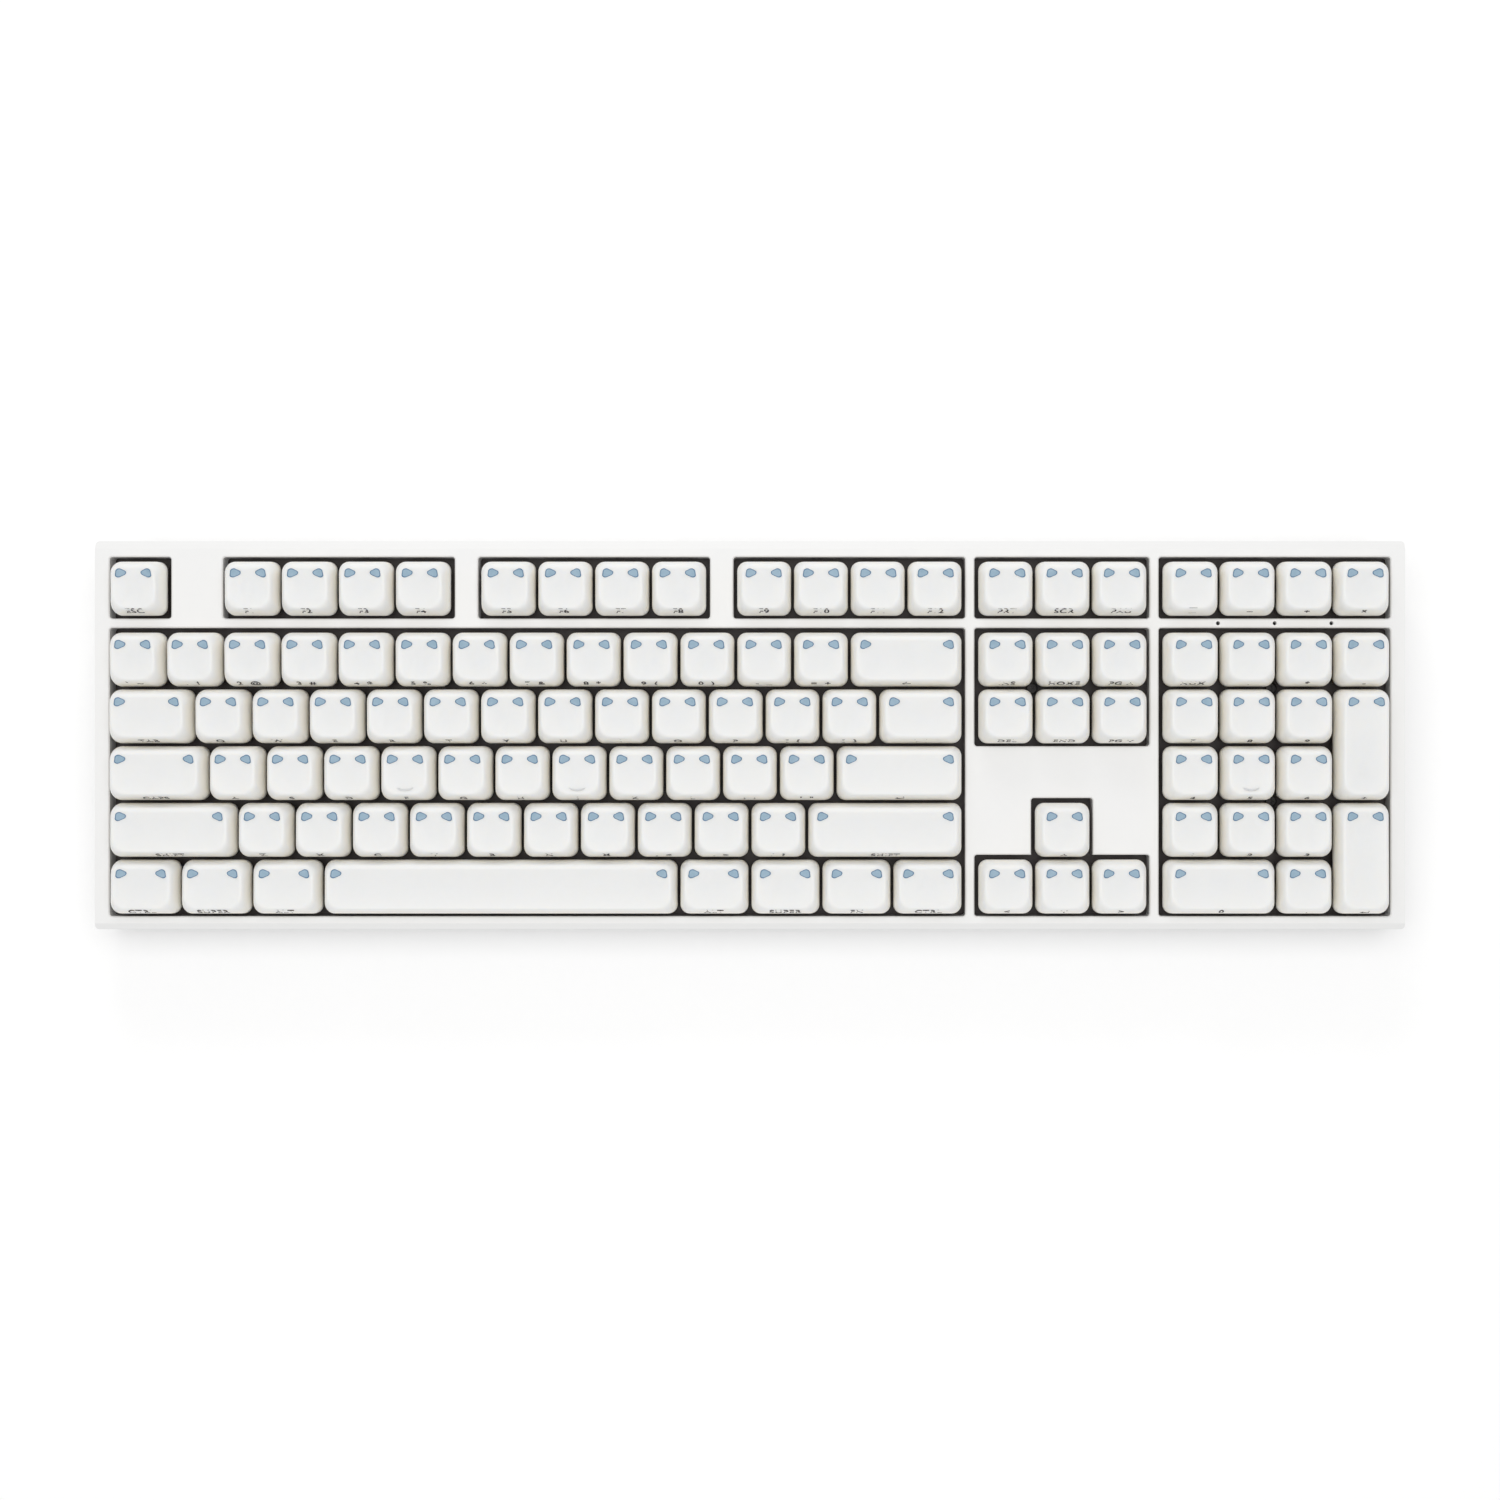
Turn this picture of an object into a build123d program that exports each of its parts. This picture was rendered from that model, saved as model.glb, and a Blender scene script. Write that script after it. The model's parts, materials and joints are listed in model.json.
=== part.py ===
from build123d import *
import math
import os

os.makedirs("parts", exist_ok=True)

# Full-size mechanical keyboard: 104 keys and four more over the number pad.
# Everything inside the case is laid out on a tilted deck. Deck heights are counted
# from the top of the switch plate, and every length is in millimetres.

# ---- driving dimensions: whole keyboard ----
UNIT = 19.05                    # pitch from key to key
TYPING_ANGLE = 6.0              # tilt of the deck, in degrees
CASE_WIDTH = 440.0
CASE_DEPTH = 130.5
CASE_TOP = 7.0                  # deck height of the case's top face
CASE_FRONT_HEIGHT = 20.0        # height of the front top edge over the desk
PAD_HEIGHT = 1.5                # rubber pads lift the flat base by this much
UNITS_ACROSS = 22.5
UNITS_DEEP = 6.25
KEYS_FORWARD = 0.85             # the key field stands this far in front of the case's middle

# ---- case shells ----
WALL = 2.2
SPLIT = -6.0                    # deck height of the joint between the two shells
SKIN_BOTTOM = 4.8               # underside of the top shell's skin
RIB_BOTTOM = 0.4                # the walls round the openings stop just over the plate
RIB_WALL = 1.2
OPENING_SIDE = 0.85             # clearance left and right of each block of keys
OPENING_REAR = 1.15
OPENING_FRONT = 0.5
OPENING_RADIUS = 1.0
OPENING_EDGE = 0.4
CORNER_RADIUS = 1.2
FACET_RUN = 2.7                 # sloped facet along the rear top edge
FACET_DROP = 1.3
FRONT_RUN = 2.0
FRONT_DROP = 0.9
DEEPER_THAN_CASE = 40.0
POST_REACH = 20.0               # past the floor of the lower shell, where the posts are cut off
INLET_CUT = 8.8                 # depth of the cut through the rear wall
INDICATOR_HOLE_RADIUS = 0.68

# ---- plate and board ----
PLATE_THICKNESS = 1.5
PLATE_WIDTH = 434.0
PLATE_DEPTH = 124.5
BOARD_TOP = -5.0
BOARD_THICKNESS = 1.6
BOARD_WIDTH = 430.0
BOARD_DEPTH = 121.0
BOARD_BOTTOM = BOARD_TOP - BOARD_THICKNESS

# ---- key switches ----
SWITCH_BODY = 13.8
SWITCH_HOLE = 14.2
FLANGE = 15.6
FLANGE_TOP = 1.0
COVER_BOTTOM_SIZE = 14.8
COVER_TOP_WIDTH = 11.6
COVER_TOP_DEPTH = 10.6
COVER_TOP = 6.6
COVER_CEILING = 5.4
CAVITY_WIDTH = 10.4
CAVITY_DEPTH = 8.4
CAVITY_REAR = 6.0                # the base's cavity reaches further back, to hold the contacts
CAVITY_FLOOR = -3.5
WINDOW_WIDTH = 7.6
WINDOW_DEPTH = 6.4
CENTRE_POST_RADIUS = 2.0
CENTRE_POST_BOTTOM = -8.4
POST_BORE_RADIUS = 1.4
POST_BORE_BOTTOM = -7.8

# ---- sliders ----
SLIDER_WIDTH = 7.2
SLIDER_DEPTH = 6.0
SLIDER_BOTTOM = 3.2
SLIDER_TOP = 6.8
SLIDER_FLANGE_WIDTH = 9.6
SLIDER_FLANGE_DEPTH = 7.6
SLIDER_FLANGE_TOP = 5.2
SLIDER_POST_RADIUS = 1.1
SLIDER_POST_BOTTOM = -3.0
CROSS_LENGTH = 4.0
CROSS_WIDTH = 1.2
CROSS_TOP = 10.4
CROSS_CLEARANCE = 0.06

# ---- return springs ----
SPRING_RADIUS = 1.75
SPRING_WIRE_RADIUS = 0.15
SPRING_BOTTOM = -3.3
SPRING_TOP = 3.0
SPRING_TURNS = 4

# ---- switch contacts ----
CONTACT_WIDTH = 1.0
CONTACT_THICKNESS = 0.3
CONTACT_TOP = 0.8
CONTACT_BOTTOM = -8.2
CONTACT_SPOTS = [(-1.8, 4.95), (1.8, 5.5)]
CONTACT_SLOT_RADIUS = 0.6
BOARD_PIN_HOLE_RADIUS = 0.65

# ---- keycaps ----
CAP_GAP = 0.95                  # space between two neighbouring caps
CAP_SKIRT = 6.0                 # deck height of the lower edge
CAP_BASE_RADIUS = 2.8
CAP_TOP_RADIUS = 3.6
CAP_TOP_INSET = 4.4             # how much narrower the top is than the skirt
CAP_WALL = 1.3
CAP_ROOF = 1.8
CAP_STEM_ROOT = 0.45            # how far a stem reaches into the roof
CAP_SHOULDER_HEIGHT = 5.5       # the walls stand nearly upright up to here, over the skirt
CAP_SHOULDER_INSET = 1.3        # how much narrower the cap is there
CAP_INNER_TOP_INSET = 3.0
CAP_STEM_RADIUS = 2.8
CAP_STEM_BOTTOM = 6.9
CAP_SOCKET_DEPTH = 4.2
DISH_RADIUS = 38.0
DISH_DEPTH = 0.9
ROW_TOPS = {0: 15.0, 1: 15.8, 2: 16.2, 3: 15.7, 4: 15.3, 5: 15.0}
HOMING_WIDTH = 5.3
HOMING_THICKNESS = 0.6
HOMING_OFFSET = -5.2
HOMING_DROP = 1.6
HOMING_HEIGHT = 1.5

# ---- stabilisers under the long keys ----
STABILIZER_REACH = 11.938       # from the switch to each stabiliser, on keys of 2 to 3 units
SPACE_BAR_REACH = 50.0
STABILIZER_WIDTH = 6.2
STABILIZER_DEPTH = 12.0
STABILIZER_TOP = 2.6
STABILIZER_FLOOR = -4.4
STABILIZER_WELL_WIDTH = 4.9
STABILIZER_WELL_DEPTH = 6.5
STABILIZER_HOLE = (7.0, 13.0)
STABILIZER_SLIDER_WIDTH = 4.4
STABILIZER_SLIDER_DEPTH = 6.0
STABILIZER_SLIDER_BOTTOM = -0.2
WIRE_RADIUS = 0.8
WIRE_HEIGHT = -3.0
WIRE_RUN_Y = -8.5
WIRE_END_Y = 1.8
WIRE_BEND = 2.4
WIRE_SLOT_WIDTH = 2.1
WIRE_SLOT_TOP = -1.7
SLIDER_SLOT_HEIGHT = 2.8

# ---- screws and posts ----
BOSS_RADIUS = 3.0
BOSS_JOINT = -8.0
BOSS_HOLE_RADIUS = 3.6
LOWER_BOSS_RADIUS = 4.2
CASE_SCREW_SEAT = -13.0
CASE_SCREW_RADIUS = 1.3
CASE_SCREW_LENGTH = 14.0
CASE_SCREW_HEAD_RADIUS = 2.5
CASE_SCREW_HEAD_HEIGHT = 1.8
COUNTERBORE_RADIUS = 2.9
PILOT_CLEARANCE = 0.1
STANDOFF_RADIUS = 2.4
STANDOFF_HOLE_RADIUS = 2.8
PLATE_SCREW_RADIUS = 1.0
PLATE_SCREW_LENGTH = 6.0
PLATE_SCREW_HEAD_RADIUS = 2.0
PLATE_SCREW_HEAD_HEIGHT = 1.3
SCREW_RECESS_WIDTH = 0.5
SCREW_RECESS_DEPTH = 0.8
SCREW_HEAD_ROUNDING = 0.33      # as a share of the head's height
PILOT_SPARE = 1.0               # depth of a pilot hole past the screw's tip

# ---- electronics ----
INDICATOR_RADIUS = 1.5
INDICATOR_TOP = 0.1
INDICATOR_ROUNDING = 0.75
INDICATOR_PLATE_HOLE = 1.8
DIODE_SIZE = (3.5, 1.6, 1.1)
DIODE_OFFSET = (5.2, -6.6)
CHIP_SIZE = (10.0, 10.0, 1.1)
SOCKET_X = -9.525
SOCKET_WIDTH = 9.0
SOCKET_HEIGHT = 3.2
SOCKET_LENGTH = 7.4
SOCKET_SHELL = 0.3
SOCKET_CORNER = 1.45
SOCKET_MOUTH_Y = 61.0
SOCKET_TONGUE = (6.6, 0.7)
SOCKET_TONGUE_LENGTH = 5.6
INLET_WIDTH = 13.0
INLET_HEIGHT = 7.0

# ---- flip-out feet and pads ----
FOOT_X = 150.0
FOOT_HINGE_Y = 54.0
FOOT_HINGE_Z = 4.5
FOOT_HALF_WIDTH = 20.0
FOOT_REACH = 15.0
FOOT_TIP_LENGTH = 3.0
FOOT_TIP_ROUNDING = 1.0
FOOT_BOTTOM = 2.3
FOOT_TOP = 5.9
FOOT_KNUCKLE_RADIUS = 2.5
PIVOT_RADIUS = 1.9
PIVOT_CLEARANCE = 0.08
PIVOT_HALF_LENGTH = 22.6
POCKET_HALF_WIDTH = 20.6
POCKET_FRONT_Y = 29.0
POCKET_REAR_Y = 57.8
POCKET_TOP = 8.2
POCKET_WALL = 2.6
FRONT_PAD = (44.0, 8.0)
FRONT_PAD_SPOT = (165.0, -57.0)
REAR_PAD = (24.0, 8.0)
REAR_PAD_SPOT = (203.0, 55.0)
PAD_CORNER = 2.5

# ---- the deck: a plane tilted about X, placed so that the keyboard is centred over the origin ----
TILT = math.radians(TYPING_ANGLE)
DECK_Z = CASE_FRONT_HEIGHT + CASE_DEPTH / 2 * math.sin(TILT) - CASE_TOP * math.cos(TILT)
REAR_BASE_HEIGHT = (PAD_HEIGHT - DECK_Z - CASE_DEPTH / 2 * math.sin(TILT)) / math.cos(TILT)
DECK_Y = (CASE_TOP + REAR_BASE_HEIGHT) * math.sin(TILT) / 2
DECK = Plane(origin=(0, DECK_Y, DECK_Z), x_dir=(1, 0, 0), z_dir=(0, -math.sin(TILT), math.cos(TILT)))
DECK_SIDE = Plane(origin=DECK.origin, x_dir=DECK.y_dir, z_dir=(1, 0, 0))


def spot(across, down):
    """Deck position of a point counted in units from the rear left corner of the key field."""
    return ((across - UNITS_ACROSS / 2) * UNIT, (UNITS_DEEP / 2 - down) * UNIT - KEYS_FORWARD)


def key(across, down, width=1.0, depth=1.0, row=0):
    """One key: the deck position of its middle, its size in units and its row."""
    x, y = spot(across, down)
    return {"x": x, "y": y, "width": width, "depth": depth, "row": row}


def key_run(left_edge, down, row, widths):
    """Keys laid side by side from a left edge."""
    keys = []
    edge = left_edge
    for width in widths:
        keys.append(key(edge + width / 2, down, width, 1.0, row))
        edge += width
    return keys


# ---- the key layout: rows counted from the rear ----
ROW_MIDDLES = [0.5, 1.75, 2.75, 3.75, 4.75, 5.75]
MODIFIER = 1.25
SPACE = 6.25


def row_run(left_edge, row, widths):
    """Keys of one row, laid side by side from a left edge."""
    return key_run(left_edge, ROW_MIDDLES[row], row, widths)


def list_keys():
    """Every body of keys that moves as one, by name."""
    groups = {
        "escape_key": row_run(0, 0, [1]),
        "function_keys_1_to_4": row_run(2, 0, [1] * 4),
        "function_keys_5_to_8": row_run(6.5, 0, [1] * 4),
        "function_keys_9_to_12": row_run(11, 0, [1] * 4),
        "system_keys": row_run(15.25, 0, [1] * 3),
        "media_keys": row_run(18.5, 0, [1] * 4),
        "digit_row_keys": row_run(0, 1, [1] * 13),
        "backspace_key": row_run(13, 1, [2]),
        "tab_key": row_run(0, 2, [1.5]),
        "upper_letter_keys": row_run(1.5, 2, [1] * 12),
        "backslash_key": row_run(13.5, 2, [1.5]),
        "caps_lock_key": row_run(0, 3, [1.75]),
        "home_letter_keys": row_run(1.75, 3, [1] * 11),
        "enter_key": row_run(12.75, 3, [2.25]),
        "left_shift_key": row_run(0, 4, [2.25]),
        "lower_letter_keys": row_run(2.25, 4, [1] * 10),
        "right_shift_key": row_run(12.25, 4, [2.75]),
        "navigation_keys": row_run(15.25, 1, [1] * 3) + row_run(15.25, 2, [1] * 3),
        "arrow_up_key": row_run(16.25, 4, [1]),
        "arrow_left_key": row_run(15.25, 5, [1]),
        "arrow_down_key": row_run(16.25, 5, [1]),
        "arrow_right_key": row_run(17.25, 5, [1]),
        "numpad_plus_key": [key(22, 3.25, 1.0, 2.0, 2)],
        "numpad_enter_key": [key(22, 5.25, 1.0, 2.0, 4)],
        "numpad_zero_key": row_run(18.5, 5, [2]),
    }
    bottom_names = ["left_ctrl_key", "left_super_key", "left_alt_key", "space_bar",
                    "right_alt_key", "right_super_key", "fn_key", "right_ctrl_key"]
    bottom_widths = [MODIFIER] * 3 + [SPACE] + [MODIFIER] * 4
    for name, placed in zip(bottom_names, row_run(0, 5, bottom_widths)):
        groups[name] = [placed]
    pad = row_run(18.5, 1, [1] * 4)
    for row in (2, 3, 4):
        pad += row_run(18.5, row, [1] * 3)
    groups["numpad_keys"] = pad + row_run(20.5, 5, [1])
    return groups


KEY_GROUPS = list_keys()
ALL_KEYS = [placed for group in KEY_GROUPS.values() for placed in group]
SWITCH_SPOTS = [(placed["x"], placed["y"]) for placed in ALL_KEYS]
HOMING_SPOTS = [spot(5.25, 3.75), spot(8.25, 3.75), spot(20, 3.75)]

# openings in the top shell: left, rear, right and front edges in units
OPENINGS = [
    (0, 0, 1, 1), (2, 0, 6, 1), (6.5, 0, 10.5, 1), (11, 0, 15, 1), (15.25, 0, 18.25, 1), (18.5, 0, 22.5, 1),
    (0, 1.25, 15, 6.25), (15.25, 1.25, 18.25, 3.25), (18.5, 1.25, 22.5, 6.25),
]
ARROW_STEM = (16.25, 4.25, 17.25, 6.25)
ARROW_BAR = (15.25, 5.25, 18.25, 6.25)
INDICATOR_DOWN = 1.125 - (OPENING_REAR - OPENING_FRONT) / 2 / UNIT     # middle of the bar
INDICATOR_SPOTS = [spot(across, INDICATOR_DOWN) for across in (19.5, 20.5, 21.5)]
CASE_SCREW_SPOTS = [spot(1.5, 0.5), spot(6.25, 0.5), spot(15.75, 3.75), spot(17.75, 3.75)]
PLATE_SCREW_SPOTS = [
    spot(1.375, 2.75), spot(13.625, 2.75), spot(2.13, 4.75), spot(14.72, 4.75),
    spot(5.5, 5.75), spot(8.3, 5.75), spot(16.25, 2.25), spot(20.5, 2.25), spot(20.5, 4.25),
]


def stabilizer_reach(placed):
    """Distance from a key's switch to its stabilisers, or None on a short key."""
    longest = max(placed["width"], placed["depth"])
    if longest < 2:
        return None
    return SPACE_BAR_REACH if longest > 3 else STABILIZER_REACH


def stabilizer_places():
    """Where each stabiliser stands on the deck, turned with the key that it serves."""
    places = []
    for placed in ALL_KEYS:
        reach = stabilizer_reach(placed)
        if reach is None:
            continue
        middle = Location((placed["x"], placed["y"], 0), (0, 0, 90 if placed["depth"] > 1 else 0))
        places += [middle * Location((side * reach, 0, 0)) for side in (-1, 1)]
    return places


STABILIZER_PLACES = stabilizer_places()


def save(builder, name):
    """Label a finished piece and write its STEP file."""
    builder.part.label = name
    export_step(builder.part, f"parts/{name}.step")


def draw_openings(growth, radius):
    """Outlines of the key openings, grown by a margin, for the sketch that is open."""
    for left, rear, right, front in [*OPENINGS, ARROW_STEM, ARROW_BAR]:
        x, y = spot((left + right) / 2, (rear + front) / 2)
        width = (right - left) * UNIT + 2 * (OPENING_SIDE + growth)
        depth = (front - rear) * UNIT + OPENING_REAR + OPENING_FRONT + 2 * growth
        with Locations((x, y + (OPENING_REAR - OPENING_FRONT) / 2)):
            RectangleRounded(width, depth, radius)


def draw_cross(clearance):
    """The plus-shaped outline shared by a slider's stem and a cap's socket."""
    Rectangle(CROSS_LENGTH + 2 * clearance, CROSS_WIDTH + 2 * clearance)
    Rectangle(CROSS_WIDTH + 2 * clearance, CROSS_LENGTH + 2 * clearance)


# ================= case =================
def make_top_case():
    """Upper shell: a thin skin with ribs round the openings and screw bosses below it."""
    half = CASE_DEPTH / 2
    inner = (CASE_WIDTH - 2 * WALL, CASE_DEPTH - 2 * WALL)
    with BuildPart() as top_case:
        with BuildSketch(DECK_SIDE):
            with BuildLine():
                Polyline((-half, SPLIT), (-half, CASE_TOP - FRONT_DROP), (-half + FRONT_RUN, CASE_TOP),
                         (half - FACET_RUN, CASE_TOP), (half, CASE_TOP - FACET_DROP), (half, SPLIT),
                         close=True)
            make_face()
        extrude(amount=CASE_WIDTH / 2, both=True)
        normal = Axis(DECK.origin, DECK.z_dir)
        fillet(top_case.edges().filter_by(normal), CORNER_RADIUS)
        with BuildSketch(DECK.offset(SPLIT)):
            Rectangle(*inner)
        extrude(amount=RIB_BOTTOM - SPLIT, mode=Mode.SUBTRACT)
        with BuildSketch(DECK.offset(RIB_BOTTOM)):
            Rectangle(*inner)
            with BuildSketch(DECK.offset(RIB_BOTTOM), mode=Mode.SUBTRACT):
                draw_openings(RIB_WALL, OPENING_RADIUS + RIB_WALL)
        extrude(amount=SKIN_BOTTOM - RIB_BOTTOM, mode=Mode.SUBTRACT)
        with BuildSketch(DECK.offset(RIB_BOTTOM)):
            draw_openings(0, OPENING_RADIUS)
        extrude(amount=CASE_TOP, mode=Mode.SUBTRACT)
        top_face = top_case.faces().filter_by(normal).sort_by(normal)[-1]
        chamfer(top_face.inner_wires().edges(), OPENING_EDGE)
        with BuildSketch(DECK.offset(BOSS_JOINT)):
            with Locations(*CASE_SCREW_SPOTS):
                Circle(BOSS_RADIUS)
        extrude(amount=SKIN_BOTTOM - BOSS_JOINT)
        with BuildSketch(DECK.offset(BOSS_JOINT)):
            with Locations(*CASE_SCREW_SPOTS):
                Circle(CASE_SCREW_RADIUS + PILOT_CLEARANCE)
        extrude(amount=CASE_SCREW_LENGTH + CASE_SCREW_SEAT - BOSS_JOINT + PILOT_SPARE, mode=Mode.SUBTRACT)
        with BuildSketch(DECK.offset(RIB_BOTTOM)):
            with Locations(*INDICATOR_SPOTS):
                Circle(INDICATOR_HOLE_RADIUS)
        extrude(amount=CASE_TOP, mode=Mode.SUBTRACT)
        with Locations(DECK.location * Location((SOCKET_X, half, inlet_middle()))):
            Box(INLET_WIDTH, INLET_CUT, INLET_HEIGHT, mode=Mode.SUBTRACT)
    save(top_case, "top_case")


def inlet_middle():
    """Deck height of the cable inlet's middle."""
    return BOARD_BOTTOM - SOCKET_HEIGHT / 2


def make_bottom_case():
    """Lower shell: a wedge-shaped tub with posts, screw bosses and pockets for the feet."""
    with BuildPart() as hollow:
        with BuildSketch(DECK.offset(SPLIT)):
            Rectangle(CASE_WIDTH - 2 * WALL, CASE_DEPTH - 2 * WALL)
        extrude(amount=-DEEPER_THAN_CASE)
        split(bisect_by=Plane.XY.offset(PAD_HEIGHT + WALL), keep=Keep.TOP)

    pocket_depth = POCKET_REAR_Y - POCKET_FRONT_Y
    pocket_middle = (POCKET_REAR_Y + POCKET_FRONT_Y) / 2
    pocket_spots = [(side * FOOT_X, pocket_middle) for side in (-1, 1)]
    with BuildPart() as bottom_case:
        with BuildSketch(DECK.offset(SPLIT)):
            RectangleRounded(CASE_WIDTH, CASE_DEPTH, CORNER_RADIUS)
        extrude(amount=-DEEPER_THAN_CASE)
        add(hollow.part, mode=Mode.SUBTRACT)
        with BuildSketch(DECK.offset(BOSS_JOINT)):
            with Locations(*CASE_SCREW_SPOTS):
                Circle(LOWER_BOSS_RADIUS)
        extrude(amount=-POST_REACH)
        with BuildSketch(DECK.offset(-PLATE_THICKNESS)):
            with Locations(*PLATE_SCREW_SPOTS):
                Circle(STANDOFF_RADIUS)
        extrude(amount=-POST_REACH)
        with BuildSketch(Plane.XY.offset(PAD_HEIGHT)):
            with Locations(*pocket_spots):
                Rectangle(2 * (POCKET_HALF_WIDTH + POCKET_WALL), pocket_depth + 2 * POCKET_WALL)
        extrude(amount=POCKET_TOP + POCKET_WALL - PAD_HEIGHT)
        split(bisect_by=Plane.XY.offset(PAD_HEIGHT), keep=Keep.TOP)
        with BuildSketch(Plane.XY):
            with Locations(*pocket_spots):
                Rectangle(2 * POCKET_HALF_WIDTH, pocket_depth)
        extrude(amount=POCKET_TOP, mode=Mode.SUBTRACT)
        with Locations(*[Location((side * FOOT_X, FOOT_HINGE_Y, FOOT_HINGE_Z)) for side in (-1, 1)]):
            Cylinder(PIVOT_RADIUS + PIVOT_CLEARANCE, 2 * (PIVOT_HALF_LENGTH + CORNER_RADIUS),
                     rotation=(0, 90, 0), mode=Mode.SUBTRACT)
        with BuildSketch(DECK.offset(BOSS_JOINT)):
            with Locations(*CASE_SCREW_SPOTS):
                Circle(CASE_SCREW_RADIUS + PILOT_CLEARANCE)
        extrude(amount=CASE_SCREW_SEAT - BOSS_JOINT, mode=Mode.SUBTRACT)
        with BuildSketch(DECK.offset(CASE_SCREW_SEAT)):
            with Locations(*CASE_SCREW_SPOTS):
                Circle(COUNTERBORE_RADIUS)
        extrude(amount=-POST_REACH, mode=Mode.SUBTRACT)
        with BuildSketch(DECK.offset(-PLATE_THICKNESS)):
            with Locations(*PLATE_SCREW_SPOTS):
                Circle(PLATE_SCREW_RADIUS + PILOT_CLEARANCE)
        extrude(amount=-PLATE_SCREW_LENGTH, mode=Mode.SUBTRACT)
        with Locations(DECK.location * Location((SOCKET_X, CASE_DEPTH / 2, inlet_middle()))):
            Box(INLET_WIDTH, INLET_CUT, INLET_HEIGHT, mode=Mode.SUBTRACT)
    save(bottom_case, "bottom_case")


# ================= plate and board =================
def make_switch_plate():
    """Steel plate that the switches snap into."""
    with BuildPart() as switch_plate:
        with BuildSketch(DECK.offset(-PLATE_THICKNESS)):
            RectangleRounded(PLATE_WIDTH, PLATE_DEPTH, CORNER_RADIUS)
            with Locations(*SWITCH_SPOTS):
                Rectangle(SWITCH_HOLE, SWITCH_HOLE, mode=Mode.SUBTRACT)
            with Locations(*STABILIZER_PLACES):
                Rectangle(*STABILIZER_HOLE, mode=Mode.SUBTRACT)
            with Locations(*CASE_SCREW_SPOTS):
                Circle(BOSS_HOLE_RADIUS, mode=Mode.SUBTRACT)
            with Locations(*PLATE_SCREW_SPOTS):
                Circle(PLATE_SCREW_RADIUS + PILOT_CLEARANCE, mode=Mode.SUBTRACT)
            with Locations(*INDICATOR_SPOTS):
                Circle(INDICATOR_PLATE_HOLE, mode=Mode.SUBTRACT)
        extrude(amount=PLATE_THICKNESS)
    save(switch_plate, "switch_plate")


def make_circuit_board():
    """Circuit board under the plate, with holes for the switches' posts and pins."""
    pin_spots = [(x + pin_x, y + pin_y) for x, y in SWITCH_SPOTS for pin_x, pin_y in CONTACT_SPOTS]
    with BuildPart() as circuit_board:
        with BuildSketch(DECK.offset(BOARD_BOTTOM)):
            RectangleRounded(BOARD_WIDTH, BOARD_DEPTH, CORNER_RADIUS)
            with Locations(*SWITCH_SPOTS):
                Circle(CENTRE_POST_RADIUS + PILOT_CLEARANCE, mode=Mode.SUBTRACT)
            with Locations(*pin_spots):
                Circle(BOARD_PIN_HOLE_RADIUS, mode=Mode.SUBTRACT)
            with Locations(*CASE_SCREW_SPOTS):
                Circle(BOSS_HOLE_RADIUS, mode=Mode.SUBTRACT)
            with Locations(*PLATE_SCREW_SPOTS):
                Circle(STANDOFF_HOLE_RADIUS, mode=Mode.SUBTRACT)
        extrude(amount=BOARD_THICKNESS)
    save(circuit_board, "circuit_board")


# ================= switches =================
def switch_base():
    """One switch's lower half: a square cup with a flange, a centre post and a cavity."""
    with BuildPart() as base:
        with BuildSketch(Plane.XY.offset(BOARD_TOP)):
            Rectangle(SWITCH_BODY, SWITCH_BODY)
        extrude(amount=-BOARD_TOP)
        with BuildSketch(Plane.XY):
            Rectangle(FLANGE, FLANGE)
        extrude(amount=FLANGE_TOP)
        with BuildSketch(Plane.XY.offset(CENTRE_POST_BOTTOM)):
            Circle(CENTRE_POST_RADIUS)
        extrude(amount=BOARD_TOP - CENTRE_POST_BOTTOM)
        with BuildSketch(Plane.XY.offset(CAVITY_FLOOR)):
            with Locations((0, (CAVITY_REAR - CAVITY_DEPTH / 2) / 2)):
                Rectangle(CAVITY_WIDTH, CAVITY_REAR + CAVITY_DEPTH / 2)
        extrude(amount=FLANGE_TOP - CAVITY_FLOOR, mode=Mode.SUBTRACT)
        with BuildSketch(Plane.XY.offset(POST_BORE_BOTTOM)):
            Circle(POST_BORE_RADIUS)
        extrude(amount=CAVITY_FLOOR - POST_BORE_BOTTOM, mode=Mode.SUBTRACT)
        with BuildSketch(Plane.XY.offset(BOARD_TOP)):
            with Locations(*CONTACT_SPOTS):
                Circle(CONTACT_SLOT_RADIUS)
        extrude(amount=CAVITY_FLOOR - BOARD_TOP, mode=Mode.SUBTRACT)
    return base.part


def switch_cover():
    """One switch's upper half: a tapered hood with a window for the slider."""
    with BuildPart() as cover:
        with BuildSketch(Plane.XY.offset(FLANGE_TOP)):
            Rectangle(COVER_BOTTOM_SIZE, COVER_BOTTOM_SIZE)
        with BuildSketch(Plane.XY.offset(COVER_TOP)):
            Rectangle(COVER_TOP_WIDTH, COVER_TOP_DEPTH)
        loft(ruled=True)
        with BuildSketch(Plane.XY.offset(FLANGE_TOP)):
            Rectangle(CAVITY_WIDTH, CAVITY_DEPTH)
        extrude(amount=COVER_CEILING - FLANGE_TOP, mode=Mode.SUBTRACT)
        with BuildSketch(Plane.XY.offset(FLANGE_TOP)):
            Rectangle(WINDOW_WIDTH, WINDOW_DEPTH)
        extrude(amount=COVER_TOP - FLANGE_TOP, mode=Mode.SUBTRACT)
    return cover.part


def switch_spring():
    """One switch's return spring, at its length with the key up."""
    rise = SPRING_TOP - SPRING_BOTTOM
    with BuildPart() as spring:
        with BuildLine() as coil:
            Helix(pitch=rise / SPRING_TURNS, height=rise, radius=SPRING_RADIUS,
                  center=(0, 0, SPRING_BOTTOM))
        with BuildSketch(Plane(origin=coil.line @ 0, z_dir=coil.line % 0)):
            Circle(SPRING_WIRE_RADIUS)
        sweep(path=coil.line)
    return spring.part


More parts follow.
